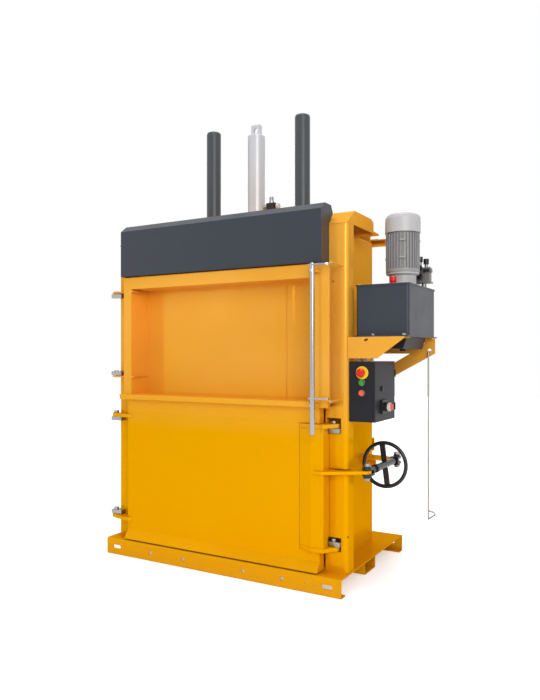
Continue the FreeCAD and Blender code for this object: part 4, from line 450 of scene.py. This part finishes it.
def bolt_head(bm, seat, direction, across_corners):
    """A hexagon head with its chamfered crown, on a round washer."""
    radius = across_corners / 2
    washer, rim = radius * 0.14, radius * 1.25
    ring_stack(bm, seat, direction, [(0, rim), (washer, rim)], segments=20)
    crown = [(0, radius), (radius * 0.62, radius), (radius * 0.72, radius * 0.86)]
    ring_stack(bm, Vector(seat) + Vector(direction) * washer, direction, crown, segments=6)


def many_bolts(name, places, body, across_corners, finish="zinc"):
    """Like bolts on one body, as one piece: places is a list of (seat, direction)."""
    bm = bmesh.new()
    for seat, direction in places:
        bolt_head(bm, seat, direction, across_corners)
    return finish_piece(name, bm, finish, body)


def round_places(x, y, z, radius, count, first):
    """Places round an upright axis for bolts that point up; first is an angle in degrees."""
    turns = [math.radians(first + 360 * step / count) for step in range(count)]
    return [((x + radius * math.cos(turn), y + radius * math.sin(turn), z), UP) for turn in turns]


def weld_bead(bm, start, end):
    """A bead of overlapping ripples laid from one point to another, thin at its ends."""
    start, run = Vector(start), Vector(end) - Vector(start)
    steps = max(3, int(run.length / length("ripple") / 2) * 2)
    rings = []
    for step in range(steps + 1):
        swell = 1.0 if step % 2 else 0.82
        swell *= 0.55 if step in (0, steps) else 1.0
        rings.append((run.length * step / steps, length("weld") / 2 * swell))
    ring_stack(bm, start, run.normalized(), rings, segments=6)


def many_welds(name, runs, body):
    """Like welds on one body, as one piece: runs is a list of (start, end)."""
    bm = bmesh.new()
    for start, end in runs:
        weld_bead(bm, start, end)
    return finish_piece(name, bm, "gloss_enamel", body)


def across(x, y, z):
    """A bead along X: x is a pair."""
    return (x[0], y, z), (x[1], y, z)


def along(x, y, z):
    """A bead along Y: y is a pair."""
    return (x, y[0], z), (x, y[1], z)


def upright(x, y, z):
    """A bead along Z: z is a pair."""
    return (x, y, z[0]), (x, y, z[1])


# ------------------------------------------------------------------ places, in millimetres
BEAD_OFF = 1                                # a bead's middle lies this far off the face that it joins
WALL_BEAD = 586                             # beads on the outer faces of the side walls
POST_LOW, POST_HIGH = corners("right_post")
RAM_LINE = 8                                # the cylinder and the guides stand on this line in depth
GUIDE_REACH = 287                           # from the middle to each guide tube
FLANGE_TOP = corners("guide_bushes")[1].z
SCREW_X, SCREW_Z = 768, 555                 # the turnbuckle's axis
ROD_X, ROD_Y = 571, -464                    # the latch rod's axis
GUIDE_HEIGHTS = (860, 1468)                 # undersides of the latch rod's guides


def beside(low, high):
    """Places of the beads on both faces of a plate."""
    return low - BEAD_OFF, high + BEAD_OFF


def end_plates(node, thickness):
    """Heights of the beads on a node's lowest and highest plates, from below to above."""
    low, high = corners(node)
    return beside(low.z, low.z + thickness) + beside(high.z - thickness, high.z)


# ------------------------------------------------------------------ operators
class BALER_OT_finishes(bpy.types.Operator):
    """Give every piece of the machine its finish"""
    bl_idname = "baler.finishes"
    bl_label = "Finishes"

    def execute(self, context):
        make_finishes()
        dressed = set()
        for finish, names in NODE_FINISH.items():
            for name in names.split():
                mesh = NODES[name].data
                mesh.materials.clear()
                mesh.materials.append(FINISHES[finish])
                dressed.add(name)
        bare = set(NODES) - dressed
        if bare:
            raise RuntimeError("No finish for " + ", ".join(sorted(bare)))
        return {"FINISHED"}


def filling_door_joints():
    """Beads of the filling door's hinge plates and of its pan's corners."""
    left = corners("filling_door")[0].x - BEAD_OFF
    joints = [along(left, (-400, -345), z) for z in end_plates("filling_hinge_plates", 8)]
    pan_sides, pan_ends = (-520, 527), (979.5, 1433.5)
    return joints + [along(x, (-410, -290), z) for x in pan_sides for z in pan_ends]


def bale_door_joints():
    """Beads round the bale door's hinge plates."""
    left, face = corners("bale_door")[0].x - BEAD_OFF, -391
    joints = []
    for z in end_plates("bale_hinge_plates", 18):
        joints += [across((-582, -556), face, z), along(left, (-388, -345), z)]
    return joints


def lock_joints():
    """Beads of the lock beam's pivot plates, inside it, and of the lever plate."""
    face = -411.5
    joints = []
    for z in end_plates("lock_beam", 18)[1:3]:
        joints += [((480, -392, z), (538, -411, z)), across((546, 602), face, z)]
    lever_low, lever_high = corners("lock_lever")
    return joints + [across((562, 603), face, z) for z in beside(lever_low.z, lever_high.z)]


def frame_joints():
    """Beads of the posts, their feet and their hoods, on both sides."""
    foot = POST_LOW.z + BEAD_OFF
    joints = []
    for side in (-1, 1):
        width = sorted((side * 592, side * 684))
        joints += [across(width, POST_LOW.y - 1.5, foot),
                   along(side * (POST_HIGH.x + BEAD_OFF), (-326, -266), foot),
                   along(side * WALL_BEAD, (-256, 258), foot),
                   upright(side * WALL_BEAD, -259, (100, 1700)),
                   across(width, POST_LOW.y - BEAD_OFF, POST_HIGH.z)]
    return joints


def hinge_block_joints():
    """Beads above and below the hinge blocks on the left post."""
    block = 22
    return [across((-686, -648), POST_LOW.y - BEAD_OFF, z) for low in (208, 728, 980, 1410)
            for z in beside(low, low + block)]


def rail_joints():
    """Stitches of weld along both edges of the back rails and the top rail."""
    wall = corners("back_wall")[1].y + BEAD_OFF
    stitch, spacing, last_gap = 60, 150, 40
    rails = ((568, 638, 560), (1136, 1206, 560), (1686.5, 1721.5, 640))
    return [across((x, x + stitch), wall, z) for low, high, reach in rails for z in beside(low, high)
            for x in range(-reach, reach - last_gap, spacing)]


def bracket_joints():
    """Beads of the turnbuckle's arm and the power pack's brackets."""
    arm_high, arm = corners("link_arm")[1].z, 14
    joints = [along(WALL_BEAD, (72, 192), z) for z in beside(arm_high - arm, arm_high)]
    low, high = corners("front_bracket")
    post_bead = POST_HIGH.x + 1.5
    joints += [upright(post_bead, low.y + BEAD_OFF, (low.z + 8, high.z - 4)),
               along(post_bead, (low.y + 8, -268), high.z - BEAD_OFF)]
    brace, sheet = corners("back_bracket")[0].y, 6
    return joints + [upright(WALL_BEAD, y, (884, 1170)) for y in beside(brace, brace + sheet)]


class BALER_OT_welds(bpy.types.Operator):
    """Lay the weld beads that join plates and sections"""
    bl_idname = "baler.welds"
    bl_label = "Welds"

    def execute(self, context):
        many_welds("filling_door_welds", filling_door_joints(), "filling_door_body")
        many_welds("bale_door_welds", bale_door_joints(), "bale_door_body")
        many_welds("lock_welds", lock_joints(), "lock")
        press = frame_joints() + hinge_block_joints() + rail_joints() + bracket_joints()
        many_welds("press_welds", press, "press")
        return {"FINISHED"}


class BALER_OT_fasteners(bpy.types.Operator):
    """Set the bolts, nuts and cap screws"""
    bl_idname = "baler.fasteners"
    bl_label = "Fasteners"

    def execute(self, context):
        flange = round_places(0, RAM_LINE, FLANGE_TOP, radius=61.5, count=8, first=22.5)
        many_bolts("cylinder_bolts", flange, "press", length("flange_bolt"))
        guides = [spot for x in (-GUIDE_REACH, GUIDE_REACH)
                  for spot in round_places(x, RAM_LINE, FLANGE_TOP, radius=55, count=6, first=0)]
        many_bolts("guide_bolts", guides, "press", length("guide_bolt"))
        bell_foot = corners("bell_housing")[0].z + 10
        bell = round_places(870, -80, bell_foot, radius=71, count=6, first=15)
        many_bolts("motor_bolts", bell, "press", length("motor_bolt"))

        low, high = corners("oil_tank")
        inset = 16
        lid = [((x, y, high.z), UP) for x in (low.x + inset, high.x - inset) for y in (-286, -190, -30, 94)]
        many_bolts("tank_lid_screws", lid, "press", across_corners=9)
        low, high = corners("terminal_box")
        inset = 8
        cover = [((x, high.y, z), BACKWARD) for x in (low.x + inset, high.x - inset)
                 for z in (low.z + inset, high.z - inset)]
        many_bolts("terminal_screws", cover, "press", across_corners=8)
        valve = [((x, y, 1517), UP) for x in (916, 974) for y in (3, 27)]
        many_bolts("valve_screws", valve, "press", across_corners=7)

        low, high = corners("front_fork")
        sunk = 3.1
        for name, y, body in (("front_fork_nuts", -285, "screw"), ("back_fork_nuts", 133, "link")):
            ends = [((SCREW_X, y, high.z - sunk), UP), ((SCREW_X, y, low.z + sunk), DOWN)]
            many_bolts(name, ends, body, across_corners=28)
        keepers = [((667, ROD_Y, z), FORWARD) for z in (886, 1505)]
        many_bolts("keeper_nuts", keepers, "press", across_corners=12)
        return {"FINISHED"}


class BALER_OT_handwheel(bpy.types.Operator):
    """Build the handwheel: its tube with a collar, the flat spoke and the round rim"""
    bl_idname = "baler.handwheel"
    bl_label = "Handwheel"

    def execute(self, context):
        bm = bmesh.new()
        tube = [(0, 12.4), (0, 18), (2, 20), (30, 20), (32, 17), (246, 17), (248, 15.5), (248, 12.4)]
        spun_ring(bm, (SCREW_X, corners("handwheel")[0].y, SCREW_Z), BACKWARD, tube)

        middle = (SCREW_X, -47, SCREW_Z)
        rim_radius, rim_wire, sides = 107, 9.5, 20
        turns = [math.tau * step / sides for step in range(sides)]
        rim = [(rim_wire * math.sin(turn), rim_radius + rim_wire * math.cos(turn)) for turn in turns]
        spun_ring(bm, middle, BACKWARD, rim)

        # a flat spoke on both sides of the tube, between the tube and the rim
        half_width, half_thickness, foot, tip = 13.5, 4, 15.5, 101
        lean = Matrix.Rotation(math.radians(-7.5), 3, "Y")
        for end in (-1, 1):
            inner, outer = sorted((end * foot, end * tip))
            verts = bar(bm, (-half_width, -half_thickness, inner), (half_width, half_thickness, outer))
            bmesh.ops.rotate(bm, verts=verts, cent=(0, 0, 0), matrix=lean)
            bmesh.ops.translate(bm, verts=verts, vec=middle)
        wheel = finish_piece("turnbuckle_wheel", bm, "wheel_enamel", "wheel")
        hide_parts("handwheel")
        return {"FINISHED"}


class BALER_OT_bracket(bpy.types.Operator):
    """Build the front bracket: a plate with a long sloped edge, an oval hole and a flange along its top"""
    bl_idname = "baler.bracket"
    bl_label = "Front bracket"

    def execute(self, context):
        low, high = corners("front_bracket")
        sheet, foot = 6, 139
        outline = [(low.x, low.z), (low.x + foot, low.z), (high.x, high.z - sheet), (high.x, high.z),
                   (low.x, high.z)]
        bm = bmesh.new()
        pierced_plate(bm, outline, low.y, sheet, hole=(low.x + 87, low.z + 84), size=(22, 11), lean=15)
        bar(bm, (low.x, low.y + sheet / 2, high.z - sheet), high)
        plate = finish_piece("tank_bracket", bm, "gloss_enamel", "press")
        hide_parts("front_bracket")
        return {"FINISHED"}


class BALER_OT_guides(bpy.types.Operator):
    """Build the latch rod's guides: a block behind the rod and a plated strap round it"""
    bl_idname = "baler.guides"
    bl_label = "Latch guides"

    def execute(self, context):
        height = 12
        bm = bmesh.new()
        for low, back in zip(GUIDE_HEIGHTS, (-426, -412)):
            bar(bm, (561, -452.6, low), (592, back, low + height))
        blocks = finish_piece("guide_blocks", bm, "gloss_enamel", "filling_door_body")
        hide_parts("latch_guides")

        inner, outer = 11.3, 12.6
        bm = bmesh.new()
        for low in GUIDE_HEIGHTS:
            strap = [(0, inner), (0, outer), (height, outer), (height, inner)]
            spun_ring(bm, (ROD_X, ROD_Y, low), UP, strap)
        finish_piece("guide_straps", bm, "hard_chrome", "filling_door_body")
        return {"FINISHED"}


class BALER_OT_cylinder(bpy.types.Operator):
    """Build the hydraulic barrel with its flange and eye lug, and the check valve on its side"""
    bl_idname = "baler.cylinder"
    bl_label = "Hydraulic cylinder"

    def execute(self, context):
        low, high = corners("cylinder_barrel")
        bore, shell, rim, eye = 40.5, 48.5, 74.5, 10
        # this flange stands 16 mm above the head beam, while the model's lies on it
        flange, flange_top = FLANGE_TOP, FLANGE_TOP + 16
        cap, top, chamfer = 2290, 2310, 4
        wall = [(low.z, bore), (low.z, shell), (flange, shell), (flange, rim), (flange_top, rim),
                (flange_top, shell), (top - chamfer, shell), (top, shell - chamfer), (top, eye),
                (cap, eye), (cap, bore)]
        bm = bmesh.new()
        spun_ring(bm, (0, RAM_LINE, 0), UP, wall)
        half, foot = 29, top - 1
        lug = [(-half, foot), (half, foot), (half, high.z - chamfer), (half - chamfer, high.z),
               (chamfer - half, high.z), (-half, high.z - chamfer)]
        pierced_plate(bm, lug, RAM_LINE - 9, 18, hole=(0, 2338), size=(28, 38))
        barrel = finish_piece("hydraulic_barrel", bm, "cylinder_enamel", "press")
        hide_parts("cylinder_barrel")

        # the valve's neck and its nut lie across, its lower fitting and its plug stand up
        port = 1908
        bm = bmesh.new()
        neck, nut = [(0, 13), (12, 13)], [(0, 15), (2, 17), (14, 17), (16, 15)]
        lower = [(0, 11), (21, 11), (21, 14), (26, 14)]
        plug = [(0, 14), (10, 14), (10, 12), (34, 12), (37, 10)]
        ring_stack(bm, (47.4, RAM_LINE, port), RIGHT, neck, segments=32)
        ring_stack(bm, (59, RAM_LINE, port), RIGHT, nut, segments=6)
        ring_stack(bm, (99, RAM_LINE, 1866), UP, lower)
        ring_stack(bm, (97, RAM_LINE, 1924), UP, plug)
        fittings = finish_piece("valve_fittings", bm, "zinc", "press")
        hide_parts("cylinder_port")

        bm = bmesh.new()
        bar(bm, (74, RAM_LINE - 20, 1890), (126, RAM_LINE + 20, 1925))
        finish_piece("check_valve", bm, "black_plastic", "press")
        turned_piece("valve_gauge", (126, RAM_LINE, 1907), RIGHT,
                     [(0, 9), (4, 9), (4, 15), (18, 15), (20, 13)], "white_plastic", "press")
        return {"FINISHED"}


class BALER_OT_screw(bpy.types.Operator):
    """Wind the threads that show before and behind the handwheel's tube"""
    bl_idname = "baler.screw"
    bl_label = "Screw threads"

    def execute(self, context):
        pitch, crest, root, steps = length("pitch"), 12.25, 11.6, 20
        profile = [(0, root), (pitch * 0.35, crest), (pitch * 0.55, crest), (pitch * 0.9, root)]
        for name, body, start, end in (("front_thread", "screw", -239, -183),
                                       ("back_thread", "link", 67, 87)):
            turns = int((end - start) / pitch)
            bm = bmesh.new()
            verts = [bm.verts.new((0, start + y, radius)) for y, radius in profile]
            edges = [bm.edges.new(pair) for pair in zip(verts, verts[1:])]
            bmesh.ops.spin(bm, geom=verts + edges, cent=(0, 0, 0), axis=BACKWARD, angle=math.tau * turns,
                           steps=steps * turns, dvec=(0, pitch / steps, 0), use_merge=False,
                           use_duplicate=False)
            bmesh.ops.translate(bm, verts=bm.verts, vec=(SCREW_X, 0, SCREW_Z))
            finish_piece(name, bm, "wheel_enamel", body, smooth_angle=60)
        return {"FINISHED"}


class BALER_OT_controls(bpy.types.Operator):
    """Finish the control box: the switch's ring, grip and marks, rings round the buttons and a screw"""
    bl_idname = "baler.controls"
    bl_label = "Controls"

    def execute(self, context):
        switch_y, switch_z, disc_face = -213, 853, 855
        turned_piece("switch_ring", (845.4, switch_y, switch_z), RIGHT,
                     [(0, 20.8), (9.5, 20.8), (11, 19.2)], "white_plastic", "main_switch")
        bm = bmesh.new()
        bar(bm, (disc_face, switch_y - 5, switch_z - 13), (disc_face + 12.5, switch_y + 5, switch_z + 13))
        grip = finish_piece("switch_grip", bm, "orange_plastic", "main_switch")
        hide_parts("switch_knob")

        bm = bmesh.new()
        for z in (switch_z - 18, switch_z + 15):
            bar(bm, (disc_face + 1, switch_y - 2, z), (disc_face + 1.8, switch_y + 2, z + 3))
        finish_piece("switch_marks", bm, "black_plastic", "main_switch")

        column, front = 757, corners("control_box")[0].y
        for name, z in (("start_ring", 967), ("reset_ring", 920)):
            turned_piece(name, (column, front, z), FORWARD, [(0, 16.2), (3.2, 16.2), (6.4, 14.6)],
                         "bare_steel", "press")
        screw = [((column, front, 872), FORWARD)]
        many_bolts("box_screws", screw, "press", across_corners=6, finish="black_plastic")
        return {"FINISHED"}


def lay_floor(scene):
    """The studio's round floor."""
    bm = bmesh.new()
    bmesh.ops.create_circle(bm, cap_ends=True, segments=96, radius=length("floor") * MM)
    mesh = bpy.data.meshes.new("studio_floor")
    bm.to_mesh(mesh)
    bm.free()
    mesh.materials.append(studio_paper())
    floor = bpy.data.objects.new("studio_floor", mesh)
    scene.collection.objects.link(floor)


def light_world(scene):
    """A world that lights softly, and is white where the camera, a gloss or glass shows it."""
    world = bpy.data.worlds.new("studio")
    scene.world = world
    world.use_nodes = True
    tree = world.node_tree
    tree.nodes.clear()
    path = add(tree, "ShaderNodeLightPath")
    through = add(tree, "ShaderNodeMath", {"operation": "MAXIMUM"},
                  {0: seen_rays(tree, path), 1: (path, "Is Transmission Ray")})
    shown = add(tree, "ShaderNodeBackground", {"Color": WHITE, "Strength": 1.0})
    light = add(tree, "ShaderNodeBackground", {"Color": WHITE, "Strength": 0.55})
    mix = add(tree, "ShaderNodeMixShader",
              links={0: (through, "Value"), 1: (light, "Background"), 2: (shown, "Background")})
    add(tree, "ShaderNodeOutputWorld", links={"Surface": (mix, "Shader")})


# each lamp's place and width in metres, and its power in watts
LAMPS = {
    "key": ((3.6, -4.1, 2.8), 3.2, 142),
    "fill": ((-3.8, -3.6, 2.4), 3.4, 14),
    "crown": ((0.2, -0.8, 5.6), 3.4, 115),
    "back": ((-2.6, 4.6, 3.0), 3.2, 70),
}
LAMP_AIM = (0.1, 0, 1.0)


def hang_lamps(scene):
    """Round soft lamps that all point at the machine's middle."""
    for name, (spot, width, power) in LAMPS.items():
        lamp = bpy.data.lights.new(name, "AREA")
        lamp.shape = "DISK"
        lamp.size = width
        lamp.energy = power
        holder = bpy.data.objects.new(name, lamp)
        holder.location = spot
        holder.rotation_euler = (Vector(LAMP_AIM) - Vector(spot)).to_track_quat("-Z", "Y").to_euler()
        scene.collection.objects.link(holder)


PICTURE_WIDTH = 540                          # pixels
FOCAL_LENGTH = 653.41                        # pixels, as fitted to the photograph
RAISED = 4.28                                # pixels that the view is shifted by
SENSOR = 36                                  # millimetres
CAMERA_PLACE = (1.8726, -3.114, 1.0967)
CAMERA_TURN = 29.77                          # degrees from straight ahead


def set_camera(scene):
    """A level camera where the photograph was taken from."""
    camera = bpy.data.cameras.new("camera")
    camera.sensor_fit = "HORIZONTAL"
    camera.sensor_width = SENSOR
    camera.lens = FOCAL_LENGTH / PICTURE_WIDTH * SENSOR
    camera.shift_y = RAISED / PICTURE_WIDTH
    camera.clip_end = 60
    holder = bpy.data.objects.new("camera", camera)
    holder.location = CAMERA_PLACE
    holder.rotation_euler = (math.radians(90), 0, math.radians(CAMERA_TURN))
    scene.collection.objects.link(holder)
    scene.camera = holder


class BALER_OT_stage(bpy.types.Operator):
    """Lay the studio floor, the lamps, the world and the camera"""
    bl_idname = "baler.stage"
    bl_label = "Stage"

    def execute(self, context):
        lay_floor(context.scene)
        light_world(context.scene)
        hang_lamps(context.scene)
        set_camera(context.scene)
        context.scene.view_settings.view_transform = "Standard"
        return {"FINISHED"}


OPERATORS = (BALER_OT_finishes, BALER_OT_welds, BALER_OT_fasteners, BALER_OT_handwheel,
             BALER_OT_bracket, BALER_OT_guides, BALER_OT_cylinder, BALER_OT_screw, BALER_OT_controls,
             BALER_OT_stage)


class BALER_PT_panel(bpy.types.Panel):
    """Lists the baler's colours, sizes and steps"""
    bl_idname = "BALER_PT_panel"
    bl_label = "Baler"
    bl_space_type = "VIEW_3D"
    bl_region_type = "UI"
    bl_category = "Baler"

    def draw(self, context):
        for group in (context.scene.baler_colours, context.scene.baler_sizes):
            for name in group.bl_rna.properties.keys():
                if name not in ("rna_type", "name"):
                    self.layout.prop(group, name)
        for operator in OPERATORS:
            self.layout.operator(operator.bl_idname)


CLASSES = (BalerColours, BalerSizes) + OPERATORS + (BALER_PT_panel,)


def register():
    for item in CLASSES:
        bpy.utils.register_class(item)
    bpy.types.Scene.baler_colours = PointerProperty(type=BalerColours)
    bpy.types.Scene.baler_sizes = PointerProperty(type=BalerSizes)


def unregister():
    del bpy.types.Scene.baler_sizes
    del bpy.types.Scene.baler_colours
    for item in reversed(CLASSES):
        bpy.utils.unregister_class(item)


def main():
    register()
    bpy.ops.baler.finishes()
    bpy.ops.baler.welds()
    bpy.ops.baler.fasteners()
    bpy.ops.baler.handwheel()
    bpy.ops.baler.bracket()
    bpy.ops.baler.guides()
    bpy.ops.baler.cylinder()
    bpy.ops.baler.screw()
    bpy.ops.baler.controls()
    bpy.ops.baler.stage()


if __name__ == "__main__":
    main()
